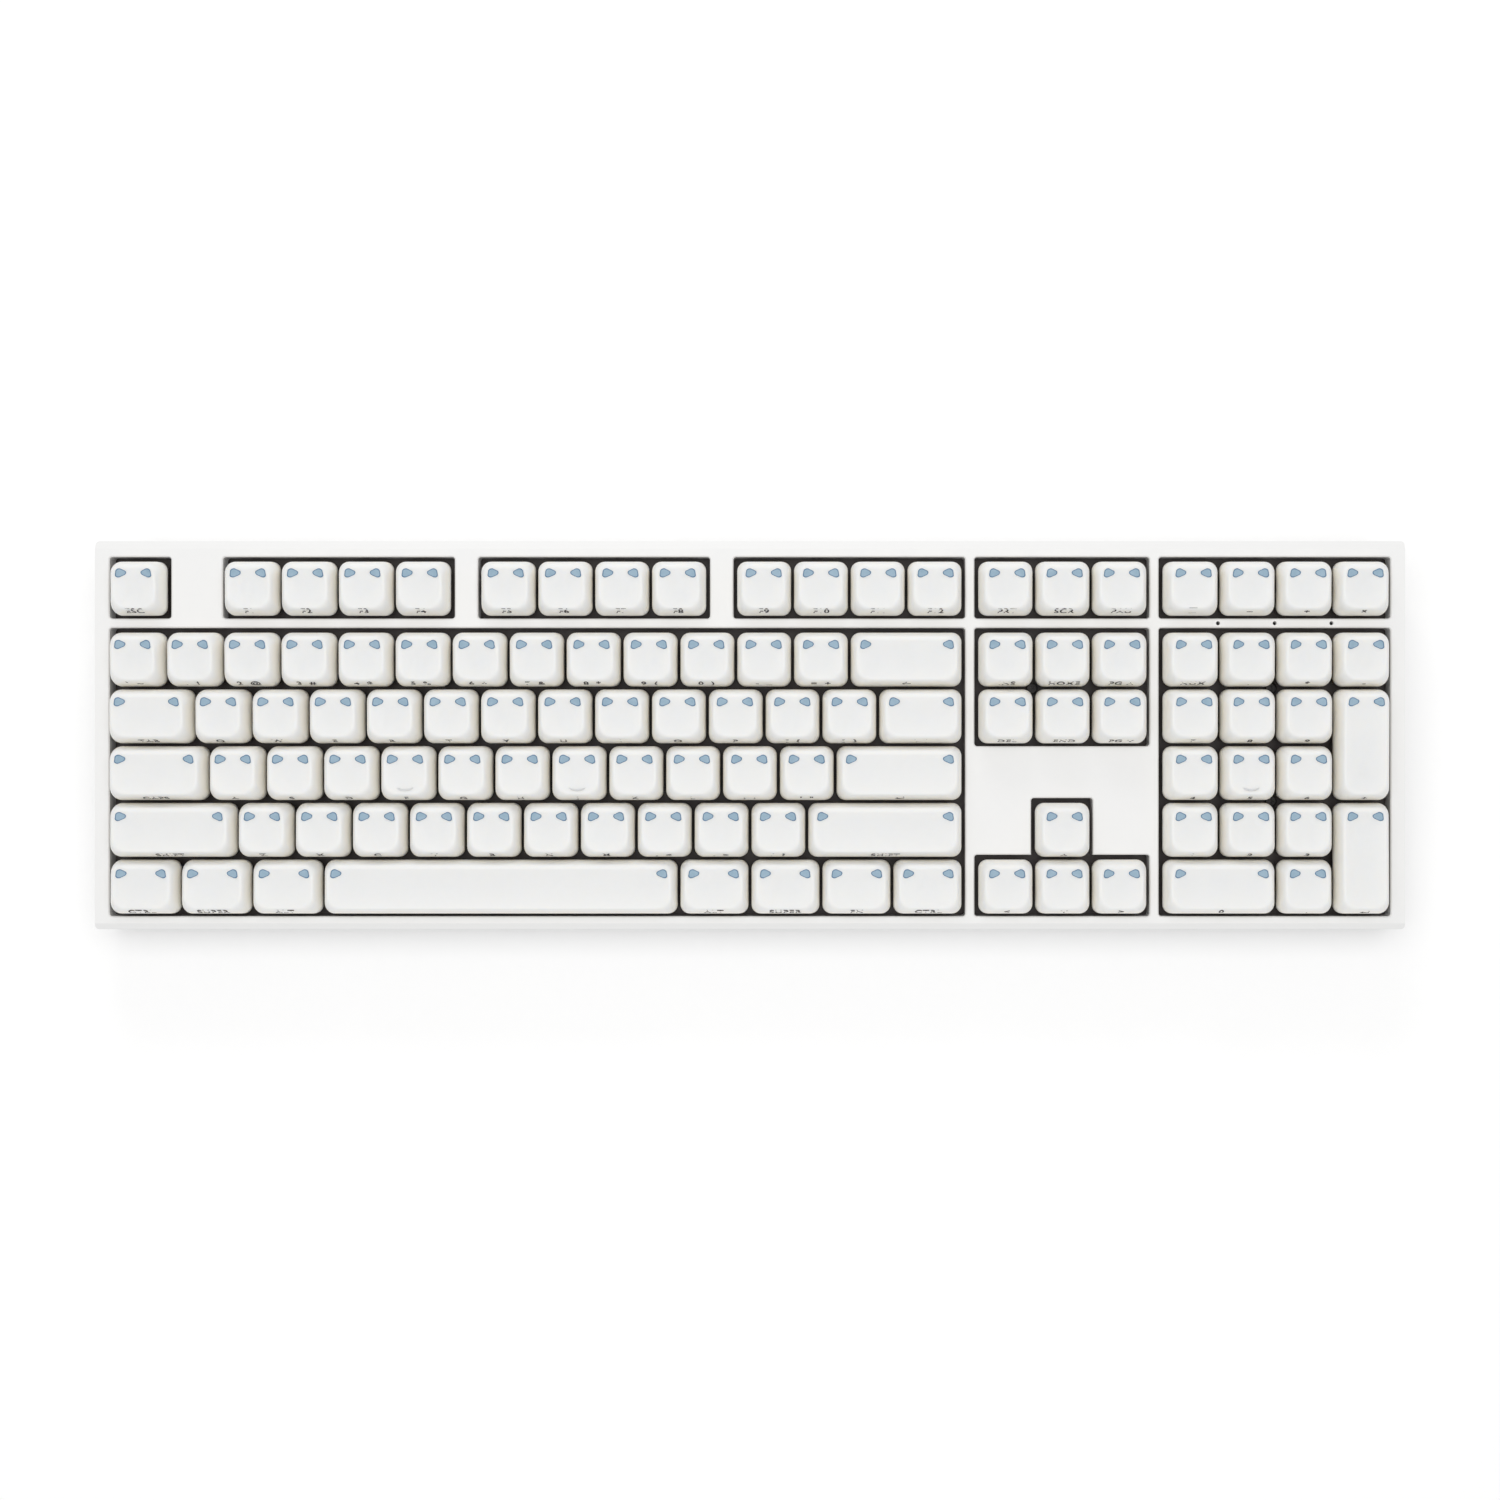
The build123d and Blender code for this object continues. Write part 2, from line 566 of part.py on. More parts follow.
def switch_contacts():
    """One switch's moving and fixed contact, each a thin blade that runs down through the board."""
    with BuildPart() as contacts:
        with BuildSketch(Plane.XY.offset(CONTACT_BOTTOM)):
            with Locations(*CONTACT_SPOTS):
                Rectangle(CONTACT_WIDTH, CONTACT_THICKNESS)
        extrude(amount=CONTACT_TOP - CONTACT_BOTTOM)
    return contacts.part


def place_on_deck(piece, name, places):
    """Repeat one piece at many places on the deck and save them as one group."""
    with BuildPart(DECK) as group:
        with Locations(*places):
            add(piece, clean=False)
    save(group, name)


# ================= sliders and keycaps =================
def key_slider():
    """Slider of a switch: a flanged block with a plus-shaped stem above and a guide post below."""
    with BuildPart() as slider:
        with BuildSketch(Plane.XY.offset(SLIDER_BOTTOM)):
            Rectangle(SLIDER_WIDTH, SLIDER_DEPTH)
        extrude(amount=SLIDER_TOP - SLIDER_BOTTOM)
        with BuildSketch(Plane.XY.offset(SLIDER_BOTTOM)):
            Rectangle(SLIDER_FLANGE_WIDTH, SLIDER_FLANGE_DEPTH)
        extrude(amount=SLIDER_FLANGE_TOP - SLIDER_BOTTOM)
        with BuildSketch(Plane.XY.offset(SLIDER_TOP)):
            draw_cross(0)
        extrude(amount=CROSS_TOP - SLIDER_TOP)
        with BuildSketch(Plane.XY.offset(SLIDER_POST_BOTTOM)):
            Circle(SLIDER_POST_RADIUS)
        extrude(amount=SLIDER_BOTTOM - SLIDER_POST_BOTTOM)
    return slider.part


def stabilizer_slider():
    """Slider of a stabiliser: a block slotted below for the wire, with a plus-shaped stem."""
    with BuildPart() as slider:
        with BuildSketch(Plane.XY.offset(STABILIZER_SLIDER_BOTTOM)):
            Rectangle(STABILIZER_SLIDER_WIDTH, STABILIZER_SLIDER_DEPTH)
        extrude(amount=SLIDER_TOP - STABILIZER_SLIDER_BOTTOM)
        with BuildSketch(Plane.XY.offset(STABILIZER_SLIDER_BOTTOM)):
            Rectangle(WIRE_SLOT_WIDTH, STABILIZER_SLIDER_DEPTH)
        extrude(amount=SLIDER_SLOT_HEIGHT, mode=Mode.SUBTRACT)
        with BuildSketch(Plane.XY.offset(SLIDER_TOP)):
            draw_cross(0)
        extrude(amount=CROSS_TOP - SLIDER_TOP)
    return slider.part


def keycap(width, depth, top, stems, homing=False):
    """Hollow cap of a key: tapered walls, a dished top and one socket over each stem."""
    skirt = (width * UNIT - CAP_GAP, depth * UNIT - CAP_GAP)
    crown = (skirt[0] - CAP_TOP_INSET, skirt[1] - CAP_TOP_INSET)
    roof = top - CAP_ROOF
    with BuildPart() as cap:
        with BuildSketch(Plane.XY.offset(CAP_SKIRT)):
            RectangleRounded(*skirt, CAP_BASE_RADIUS)
        with BuildSketch(Plane.XY.offset(CAP_SKIRT + CAP_SHOULDER_HEIGHT)):
            RectangleRounded(skirt[0] - CAP_SHOULDER_INSET, skirt[1] - CAP_SHOULDER_INSET, CAP_BASE_RADIUS)
        with BuildSketch(Plane.XY.offset(top)):
            RectangleRounded(*crown, CAP_TOP_RADIUS)
        loft(ruled=True)
        dish_middle = top - DISH_DEPTH + DISH_RADIUS
        if width == depth:
            with Locations((0, 0, dish_middle)):
                Sphere(DISH_RADIUS, mode=Mode.SUBTRACT)
        else:
            turn = (0, 90, 0) if width > depth else (90, 0, 0)
            with Locations((0, 0, dish_middle)):
                Cylinder(DISH_RADIUS, 2 * max(skirt), rotation=turn, mode=Mode.SUBTRACT)
        with BuildSketch(Plane.XY.offset(CAP_SKIRT)):
            Rectangle(skirt[0] - 2 * CAP_WALL, skirt[1] - 2 * CAP_WALL)
        with BuildSketch(Plane.XY.offset(roof)):
            Rectangle(crown[0] - CAP_INNER_TOP_INSET, crown[1] - CAP_INNER_TOP_INSET)
        loft(ruled=True, mode=Mode.SUBTRACT)
        with BuildSketch(Plane.XY.offset(CAP_STEM_BOTTOM)):
            with Locations(*stems):
                Circle(CAP_STEM_RADIUS)
        extrude(amount=roof + CAP_STEM_ROOT - CAP_STEM_BOTTOM)
        with BuildSketch(Plane.XY.offset(CAP_STEM_BOTTOM)):
            with Locations(*stems):
                draw_cross(CROSS_CLEARANCE)
        extrude(amount=CAP_SOCKET_DEPTH, mode=Mode.SUBTRACT)
        if homing:
            with BuildSketch(Plane.XY.offset(top - HOMING_DROP)):
                with Locations((0, HOMING_OFFSET)):
                    Rectangle(HOMING_WIDTH, HOMING_THICKNESS)
            extrude(amount=HOMING_HEIGHT)
    return cap.part


def stem_spots(placed):
    """Where a cap's sockets stand, from the middle of the key."""
    reach = stabilizer_reach(placed)
    if reach is None:
        return [(0, 0)]
    if placed["depth"] > 1:
        return [(0, -reach), (0, 0), (0, reach)]
    return [(-reach, 0), (0, 0), (reach, 0)]


def is_homing(placed):
    """Whether a key is one of the three that fingers find by touch."""
    return any(math.dist((placed["x"], placed["y"]), home) < 1 for home in HOMING_SPOTS)


def make_key_groups():
    """Caps and sliders of every body of keys, each body in one node."""
    slider = key_slider()
    long_slider = stabilizer_slider()
    for name, placed_keys in KEY_GROUPS.items():
        pieces = []
        for placed in placed_keys:
            stems = stem_spots(placed)
            top = ROW_TOPS[placed["row"]]
            cap = keycap(placed["width"], placed["depth"], top, stems, is_homing(placed))
            spin = 90 if placed["depth"] > 1 else 0
            middle = DECK.location * Location((placed["x"], placed["y"], 0))
            pieces.append(cap.moved(middle))
            for stem in stems:
                moving = slider if stem == (0, 0) else long_slider
                turned = Location((*stem, 0), (0, 0, 0 if stem == (0, 0) else spin))
                pieces.append(moving.moved(middle * turned))
        with BuildPart() as group:
            add(pieces, clean=False)
        save(group, name)


# ================= stabilisers =================
def stabilizer_housing():
    """One stabiliser's housing: an open well with a slot for the wire in its front wall."""
    with BuildPart() as housing:
        with BuildSketch(Plane.XY.offset(BOARD_TOP)):
            Rectangle(STABILIZER_WIDTH, STABILIZER_DEPTH)
        extrude(amount=STABILIZER_TOP - BOARD_TOP)
        with BuildSketch(Plane.XY.offset(STABILIZER_FLOOR)):
            Rectangle(STABILIZER_WELL_WIDTH, STABILIZER_WELL_DEPTH)
        extrude(amount=STABILIZER_TOP - STABILIZER_FLOOR, mode=Mode.SUBTRACT)
        with BuildSketch(Plane.XY.offset(STABILIZER_FLOOR)):
            with Locations((0, -STABILIZER_DEPTH / 2)):
                Rectangle(WIRE_SLOT_WIDTH, STABILIZER_DEPTH)
        extrude(amount=WIRE_SLOT_TOP - STABILIZER_FLOOR, mode=Mode.SUBTRACT)
    return housing.part


def stabilizer_wire(reach):
    """Bent wire that ties a key's two stabilisers together."""
    with BuildPart() as wire:
        with BuildLine() as route:
            FilletPolyline((-reach, WIRE_END_Y, WIRE_HEIGHT), (-reach, WIRE_RUN_Y, WIRE_HEIGHT),
                           (reach, WIRE_RUN_Y, WIRE_HEIGHT), (reach, WIRE_END_Y, WIRE_HEIGHT),
                           radius=WIRE_BEND)
        with BuildSketch(Plane(origin=route.line @ 0, z_dir=route.line % 0)):
            Circle(WIRE_RADIUS)
        sweep(path=route.line)
    return wire.part


def make_stabilizer_wires():
    """The wires of all long keys as one group."""
    wires = {reach: stabilizer_wire(reach) for reach in (STABILIZER_REACH, SPACE_BAR_REACH)}
    pieces = []
    for placed in ALL_KEYS:
        reach = stabilizer_reach(placed)
        if reach is None:
            continue
        turned = Location((placed["x"], placed["y"], 0), (0, 0, 90 if placed["depth"] > 1 else 0))
        pieces.append(wires[reach].moved(DECK.location * turned))
    with BuildPart() as stabilizer_wires:
        add(pieces, clean=False)
    save(stabilizer_wires, "stabilizer_wires")


# ================= screws =================
def screw(head_radius, head_height, shank_radius, shank_length):
    """Pan-head screw with a cross recess, its shank running down from the origin."""
    with BuildPart() as body:
        with BuildSketch(Plane.XY):
            Circle(head_radius)
        extrude(amount=head_height)
        fillet(body.edges().sort_by(Axis.Z)[-1], SCREW_HEAD_ROUNDING * head_height)
        with BuildSketch(Plane.XY.offset(-shank_length)):
            Circle(shank_radius)
        extrude(amount=shank_length)
        with BuildSketch(Plane.XY.offset(head_height - SCREW_RECESS_DEPTH)):
            Rectangle(head_radius, SCREW_RECESS_WIDTH)
            Rectangle(SCREW_RECESS_WIDTH, head_radius)
        extrude(amount=head_height, mode=Mode.SUBTRACT)
    return body.part


def make_screws():
    """Screws of the plate, driven from above, and of the case, driven from below."""
    plate_screw = screw(PLATE_SCREW_HEAD_RADIUS, PLATE_SCREW_HEAD_HEIGHT, PLATE_SCREW_RADIUS,
                        PLATE_SCREW_LENGTH)
    place_on_deck(plate_screw, "plate_screws", PLATE_SCREW_SPOTS)
    case_screw = screw(CASE_SCREW_HEAD_RADIUS, CASE_SCREW_HEAD_HEIGHT, CASE_SCREW_RADIUS, CASE_SCREW_LENGTH)
    upside_down = [Location((x, y, CASE_SCREW_SEAT), (180, 0, 0)) for x, y in CASE_SCREW_SPOTS]
    place_on_deck(case_screw, "case_screws", upside_down)


# ================= electronics =================
def make_indicator_lamps():
    """Round lamps on the board, under the three pinholes over the number pad."""
    with BuildPart() as indicator_lamps:
        with BuildSketch(DECK.offset(BOARD_TOP)):
            with Locations(*INDICATOR_SPOTS):
                Circle(INDICATOR_RADIUS)
        extrude(amount=INDICATOR_TOP - BOARD_TOP)
        normal = Axis(DECK.origin, DECK.z_dir)
        fillet(indicator_lamps.faces().filter_by(normal).group_by(normal)[-1].edges(), INDICATOR_ROUNDING)
    save(indicator_lamps, "indicator_lamps")


def make_board_components():
    """Diodes beside the switches and the controller, all under the board."""
    diode_width, diode_depth, diode_height = DIODE_SIZE
    with BuildPart() as diodes:
        with BuildSketch(DECK.offset(BOARD_BOTTOM)):
            with Locations(*[(x + DIODE_OFFSET[0], y + DIODE_OFFSET[1]) for x, y in SWITCH_SPOTS]):
                Rectangle(diode_width, diode_depth)
        extrude(amount=-diode_height)
    save(diodes, "diodes")

    chip_width, chip_depth, chip_height = CHIP_SIZE
    with BuildPart() as controller_chip:
        with BuildSketch(DECK.offset(BOARD_BOTTOM)):
            with Locations(spot(16.75, 3.75)):
                Rectangle(chip_width, chip_depth)
        extrude(amount=-chip_height)
    save(controller_chip, "controller_chip")


def make_usb_socket():
    """Cable socket under the board's rear edge: a flattened tube, closed at the back, with a tongue."""
    mouth = Plane(origin=DECK.from_local_coords((SOCKET_X, SOCKET_MOUTH_Y, inlet_middle())),
                  x_dir=(1, 0, 0), z_dir=-DECK.y_dir)
    with BuildPart() as usb_socket:
        with BuildSketch(mouth):
            RectangleRounded(SOCKET_WIDTH, SOCKET_HEIGHT, SOCKET_CORNER)
        extrude(amount=SOCKET_LENGTH)
        with BuildSketch(mouth):
            RectangleRounded(SOCKET_WIDTH - 2 * SOCKET_SHELL, SOCKET_HEIGHT - 2 * SOCKET_SHELL,
                             SOCKET_CORNER - SOCKET_SHELL)
        extrude(amount=SOCKET_LENGTH - SOCKET_SHELL, mode=Mode.SUBTRACT)
        with BuildSketch(mouth.offset(SOCKET_LENGTH - SOCKET_TONGUE_LENGTH)):
            Rectangle(*SOCKET_TONGUE)
        extrude(amount=SOCKET_TONGUE_LENGTH)
    save(usb_socket, "usb_socket")


# ================= feet and pads =================
def make_feet():
    """Two fold-out feet, each with a rubber tip, shown folded into their pockets."""
    for side, hand in ((-1, "left"), (1, "right")):
        middle_x = side * FOOT_X
        slab_middle_y = FOOT_HINGE_Y - FOOT_REACH / 2
        slab_middle_z = (FOOT_BOTTOM + FOOT_TOP) / 2
        with BuildPart() as foot:
            with Locations((middle_x, slab_middle_y, slab_middle_z)):
                Box(2 * FOOT_HALF_WIDTH, FOOT_REACH, FOOT_TOP - FOOT_BOTTOM)
            with Locations((middle_x, FOOT_HINGE_Y, FOOT_HINGE_Z)):
                Cylinder(FOOT_KNUCKLE_RADIUS, 2 * FOOT_HALF_WIDTH, rotation=(0, 90, 0))
                Cylinder(PIVOT_RADIUS, 2 * PIVOT_HALF_LENGTH, rotation=(0, 90, 0))
        save(foot, f"{hand}_flip_foot")
        tip_middle_y = FOOT_HINGE_Y - FOOT_REACH - FOOT_TIP_LENGTH / 2
        with BuildPart() as tip:
            with Locations((middle_x, tip_middle_y, slab_middle_z)):
                Box(2 * FOOT_HALF_WIDTH, FOOT_TIP_LENGTH, FOOT_TOP - FOOT_BOTTOM)
            fillet(tip.edges().filter_by(Axis.X).group_by(Axis.Y)[0], FOOT_TIP_ROUNDING)
        save(tip, f"{hand}_foot_tip")


def make_pads():
    """Rubber pads that the flat base rests on."""
    for name, size, (pad_x, pad_y) in (("front_pads", FRONT_PAD, FRONT_PAD_SPOT),
                                       ("rear_pads", REAR_PAD, REAR_PAD_SPOT)):
        with BuildPart() as pads:
            with BuildSketch(Plane.XY):
                with Locations((-pad_x, pad_y), (pad_x, pad_y)):
                    RectangleRounded(*size, PAD_CORNER)
            extrude(amount=PAD_HEIGHT)
        save(pads, name)


make_top_case()
make_bottom_case()
make_switch_plate()
make_circuit_board()
place_on_deck(switch_base(), "switch_bases", SWITCH_SPOTS)
place_on_deck(switch_cover(), "switch_covers", SWITCH_SPOTS)
place_on_deck(switch_spring(), "switch_springs", SWITCH_SPOTS)
place_on_deck(switch_contacts(), "switch_contacts", SWITCH_SPOTS)
place_on_deck(stabilizer_housing(), "stabilizer_housings", STABILIZER_PLACES)
make_stabilizer_wires()
make_key_groups()
make_screws()
make_indicator_lamps()
make_board_components()
make_usb_socket()
make_feet()
make_pads()
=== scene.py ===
import json
import math

import bpy
import numpy as np
from bpy.props import FloatProperty, FloatVectorProperty, PointerProperty
from bpy.types import Operator, Panel, PropertyGroup
from mathutils import Matrix, Vector


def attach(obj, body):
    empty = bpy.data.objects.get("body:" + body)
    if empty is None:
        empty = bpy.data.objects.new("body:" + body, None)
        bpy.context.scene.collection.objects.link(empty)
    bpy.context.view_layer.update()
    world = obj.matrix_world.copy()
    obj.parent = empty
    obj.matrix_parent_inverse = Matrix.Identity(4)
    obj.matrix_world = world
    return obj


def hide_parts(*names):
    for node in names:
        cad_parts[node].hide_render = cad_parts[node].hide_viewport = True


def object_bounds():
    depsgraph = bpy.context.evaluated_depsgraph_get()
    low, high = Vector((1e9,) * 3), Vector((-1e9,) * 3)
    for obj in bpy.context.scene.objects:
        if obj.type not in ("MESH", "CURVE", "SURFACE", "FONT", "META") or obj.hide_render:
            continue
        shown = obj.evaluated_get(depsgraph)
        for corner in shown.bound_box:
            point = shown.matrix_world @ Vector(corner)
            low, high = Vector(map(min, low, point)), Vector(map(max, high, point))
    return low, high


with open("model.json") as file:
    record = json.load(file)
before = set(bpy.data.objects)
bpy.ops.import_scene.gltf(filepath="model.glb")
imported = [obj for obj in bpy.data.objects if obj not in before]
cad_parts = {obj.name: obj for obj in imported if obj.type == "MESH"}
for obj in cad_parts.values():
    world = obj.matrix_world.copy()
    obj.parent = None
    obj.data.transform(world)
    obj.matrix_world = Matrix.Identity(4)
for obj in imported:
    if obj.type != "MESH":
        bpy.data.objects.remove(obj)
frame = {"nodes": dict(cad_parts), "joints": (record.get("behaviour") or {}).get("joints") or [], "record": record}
CAD_BOX = [list(corner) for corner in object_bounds()]

bl_info = {
    "name": "Mechanical Keyboard",
    "version": (1, 0, 0),
    "blender": (4, 5, 0),
    "location": "View3D > Sidebar > Keyboard",
    "description": "Dresses a keyboard's frame with caps, dyed marks, legends, sliders and finishes",
    "category": "Object",
}

MM = 0.001

# ---- the deck: the tilted plane that the keys stand on, read from the frame ----
PRESS_JOINTS = [joint for joint in frame["joints"] if joint["name"].endswith("_press")]
DECK_UP = -Vector(PRESS_JOINTS[0]["axis"]).normalized()
TILT = math.atan2(-DECK_UP.y, DECK_UP.z)


def tilted_points(node):
    """A CAD node's points, turned so that the deck is level."""
    points = np.array([vertex.co for vertex in frame["nodes"][node].data.vertices], float).reshape(-1, 3)
    turn = np.array(Matrix.Rotation(-TILT, 3, "X"))
    return points @ turn.T


def deck_origin():
    """Middle of the switch plate's top face, in the turned frame."""
    points = tilted_points("switch_plate")
    low, high = points.min(0), points.max(0)
    return np.array([0.0, (low[1] + high[1]) / 2, high[2]])


ORIGIN = deck_origin()
DECK = Matrix.Rotation(TILT, 4, "X") @ Matrix.Translation(Vector(ORIGIN))


def deck_box(node):
    """Lowest and highest corner of a CAD node in deck coordinates."""
    points = tilted_points(node) - ORIGIN
    return points.min(0), points.max(0)


def across(node):
    """Width of a CAD node."""
    low, high = deck_box(node)
    return high[0] - low[0]


UNIT = (across("function_keys_1_to_4") - across("arrow_up_key")) / 3     # pitch from key to key
CAP_GAP = UNIT - across("arrow_up_key")
SKIRT = 6.0 * MM                  # deck height of a cap's lower edge
STEM_BOTTOM = 6.9 * MM
SLIDER_TOP = 6.8 * MM
STEM_TOP = 10.4 * MM
STABILIZER_REACH = 11.938 * MM
SPACE_BAR_REACH = 50.0 * MM
ROW_NODES = ["escape_key", "digit_row_keys", "upper_letter_keys", "home_letter_keys", "lower_letter_keys",
             "space_bar"]
ROW_LEAN = [0.030, 0.034, 0.022, 0.0, -0.018, -0.024]     # rise of each row's top towards the rear

# ---- what each body of keys carries, from its rear left corner: rows of (legend, width in units) ----
DIGITS = ["`  ~", "1  !", "2  @", "3  #", "4  $", "5  %", "6  ^", "7  &", "8  *", "9  (", "0  )", "-  _",
          "=  +"]
KEY_ROWS = {
    "escape_key": [[("ESC", 1)]],
    "function_keys_1_to_4": [[(f"F{number}", 1) for number in range(1, 5)]],
    "function_keys_5_to_8": [[(f"F{number}", 1) for number in range(5, 9)]],
    "function_keys_9_to_12": [[(f"F{number}", 1) for number in range(9, 13)]],
    "system_keys": [[("PRT", 1), ("SCR", 1), ("PAU", 1)]],
    "media_keys": [[("■", 1), ("–", 1), ("+", 1), ("×", 1)]],
    "digit_row_keys": [[(legend, 1) for legend in DIGITS]],
    "backspace_key": [[("←", 2)]],
    "tab_key": [[("TAB", 1.5)]],
    "upper_letter_keys": [[(letter, 1) for letter in "QWERTYUIOP"] + [("[  {", 1), ("]  }", 1)]],
    "backslash_key": [[("\\  |", 1.5)]],
    "caps_lock_key": [[("CAPS", 1.75)]],
    "home_letter_keys": [[(letter, 1) for letter in "ASDFGHJKL"] + [(";  :", 1), ("'  \"", 1)]],
    "enter_key": [[("↵", 2.25)]],
    "left_shift_key": [[("SHIFT", 2.25)]],
    "lower_letter_keys": [[(letter, 1) for letter in "ZXCVBNM"] + [(",  <", 1), (".  >", 1), ("/  ?", 1)]],
    "right_shift_key": [[("SHIFT", 2.75)]],
    "navigation_keys": [[("INS", 1), ("HOME", 1), ("PG ∧", 1)], [("DEL", 1), ("END", 1), ("PG ∨", 1)]],
    "arrow_up_key": [[("∧", 1)]],
    "arrow_left_key": [[("<", 1)]],
    "arrow_down_key": [[("∨", 1)]],
    "arrow_right_key": [[(">", 1)]],
    "left_ctrl_key": [[("CTRL", 1.25)]],
    "left_super_key": [[("SUPER", 1.25)]],
    "left_alt_key": [[("ALT", 1.25)]],
    "space_bar": [[("", 6.25)]],
    "right_alt_key": [[("ALT", 1.25)]],
    "right_super_key": [[("SUPER", 1.25)]],
    "fn_key": [[("FN", 1.25)]],
    "right_ctrl_key": [[("CTRL", 1.25)]],
    "numpad_plus_key": [[("+", 1)]],
    "numpad_enter_key": [[("↵", 1)]],
    "numpad_zero_key": [[("0", 2)]],
    "numpad_keys": [[("NUM", 1), ("/", 1), ("*", 1), ("-", 1)], [("7", 1), ("8", 1), ("9", 1)],
                    [("4", 1), ("5", 1), ("6", 1)], [("1", 1), ("2", 1), ("3", 1)], [(None, 2), (".", 1)]],
}
HOMING = {("home_letter_keys", "F"), ("home_letter_keys", "J"), ("numpad_keys", "5")}


class Key:
    """One key: its legend, the deck position of its middle, its size in units and in metres, and its row."""

    def __init__(self, node, legend, left, rear, width, depth):
        self.legend = legend
        self.width = width
        self.depth = depth
        self.x = left + width * UNIT / 2
        self.y = rear - depth * UNIT / 2
        row = nearest_row(rear - UNIT / 2)
        self.top = ROW_TOPS[row]
        self.lean = ROW_LEAN[row]
        self.half_x = (width * UNIT - CAP_GAP) / 2
        self.half_y = (depth * UNIT - CAP_GAP) / 2
        self.homing = (node, legend) in HOMING


def row_middle(node):
    """Deck y of a node's middle."""
    low, high = deck_box(node)
    return (low[1] + high[1]) / 2


ROW_TOPS = [deck_box(node)[1][2] for node in ROW_NODES]
ROW_MIDDLES = [row_middle(node) for node in ROW_NODES]


def nearest_row(y):
    """Number of the row whose middle is nearest."""
    return min(range(len(ROW_MIDDLES)), key=lambda row: abs(ROW_MIDDLES[row] - y))


def keys_of(node):
    """Every key of one body, placed from the node's own corners."""
    low, high = deck_box(node)
    depth = round((high[1] - low[1] + CAP_GAP) / UNIT) if len(KEY_ROWS[node]) == 1 else 1
    keys = []
    for number, row in enumerate(KEY_ROWS[node]):
        left = low[0] - CAP_GAP / 2
        rear = high[1] + CAP_GAP / 2 - number * UNIT
        for legend, width in row:
            if legend is not None:
                keys.append(Key(node, legend, left, rear, width, depth))
            left += width * UNIT
    return keys


KEYS = {node: keys_of(node) for node in KEY_ROWS}


# ================= settings =================
class KEYBOARD_PG_caps(PropertyGroup):
    """Shape of the caps and of what is dyed into them."""
    shoulder: FloatProperty(name="Shoulder", description="How far in from the skirt the wall rounds over",
                            default=3.6 * MM, unit="LENGTH")
    skirt_corner: FloatProperty(name="Skirt corner", description="Corner radius of the lower edge",
                                default=3.0 * MM, unit="LENGTH")
    crown_corner: FloatProperty(name="Crown corner", description="Corner radius at the shoulder",
                                default=4.4 * MM, unit="LENGTH")
    dish_radius: FloatProperty(name="Dish radius", description="Radius of the finger dish",
                               default=40.0 * MM, unit="LENGTH")
    dish_depth: FloatProperty(name="Dish depth", description="Depth of the dish under the crown",
                              default=1.15 * MM, unit="LENGTH")
    dish_front: FloatProperty(name="Dish offset", description="How far behind the middle the dish is lowest",
                              default=0.3 * MM, unit="LENGTH")
    ridge: FloatProperty(name="Rear ridge", description="From the skirt's rear to the ridge behind the dish",
                         default=2.75 * MM, unit="LENGTH")
    ridge_fall: FloatProperty(name="Ridge fall", description="Slope from the ridge down to the rear",
                              default=0.14)
    crease: FloatProperty(name="Crease", description="Softness of the edge between shoulder and dish",
                          default=0.5 * MM, unit="LENGTH")
    wall: FloatProperty(name="Wall", description="Wall thickness", default=1.3 * MM, unit="LENGTH")
    mark_length: FloatProperty(name="Mark length", description="Length of a dyed mark",
                               default=3.64 * MM, unit="LENGTH")
    mark_height: FloatProperty(name="Mark height", description="Height of a dyed mark",
                               default=3.0 * MM, unit="LENGTH")
    mark_outline: FloatProperty(name="Mark outline", description="Width of a mark's darker rim",
                                default=0.3 * MM, unit="LENGTH")
    legend_size: FloatProperty(name="Legend size", description="Height of the letters",
                               default=3.5 * MM, unit="LENGTH")


class KEYBOARD_PG_finish(PropertyGroup):
    """Colours and roughness of the finishes."""
    cap: FloatVectorProperty(name="Cap top", description="Colour of the caps", subtype="COLOR",
                             default=(0.80, 0.80, 0.79))
    # Painted light and shade: the caps' steep walls get a lighter, warmer colour than the top, standing in for
    # light on the walls and for warm shade deep in the gaps between caps.
    cap_wall_painted_light_shade: FloatVectorProperty(name="Cap wall painted light and shade", description="Warmer colour of the caps' walls",
                                  subtype="COLOR", default=(0.93, 0.895, 0.82))
    mark: FloatVectorProperty(name="Mark", description="Colour of the dyed marks", subtype="COLOR",
                              default=(0.29, 0.41, 0.51))
    mark_rim: FloatVectorProperty(name="Mark rim", description="Colour of the marks' outline",
                                  subtype="COLOR", default=(0.09, 0.19, 0.31))
    legend: FloatVectorProperty(name="Legend", description="Colour of the legends", subtype="COLOR",
                                default=(0.025, 0.02, 0.025))
    case: FloatVectorProperty(name="Case", description="Colour of the case", subtype="COLOR",
                              default=(0.80, 0.80, 0.797))
    plate: FloatVectorProperty(name="Plate", description="Colour of the plate", subtype="COLOR",
                               default=(0.045, 0.034, 0.032))
    floor: FloatVectorProperty(name="Floor", description="Colour of the floor", subtype="COLOR",
                               default=(0.97, 0.97, 0.97))


class KEYBOARD_PG_stage(PropertyGroup):
    """Camera and lights."""
    camera_distance: FloatProperty(name="Camera distance", description="Height of the camera over the case",
                                   default=0.6996, unit="LENGTH")
    camera_side: FloatProperty(name="Camera side", description="How far right of the middle the camera stands",
                               default=0.0215, unit="LENGTH")
    camera_front: FloatProperty(name="Camera front", description="How far in front of the middle it stands",
                                default=0.005, unit="LENGTH")
    key_light: FloatProperty(name="Main light", description="Power of the low light at the rear", default=2.1)
    top_light: FloatProperty(name="Top light", description="Power of the wide light overhead", default=7.6)
    sky: FloatProperty(name="Surrounding light", description="Strength of the even light", default=0.70)


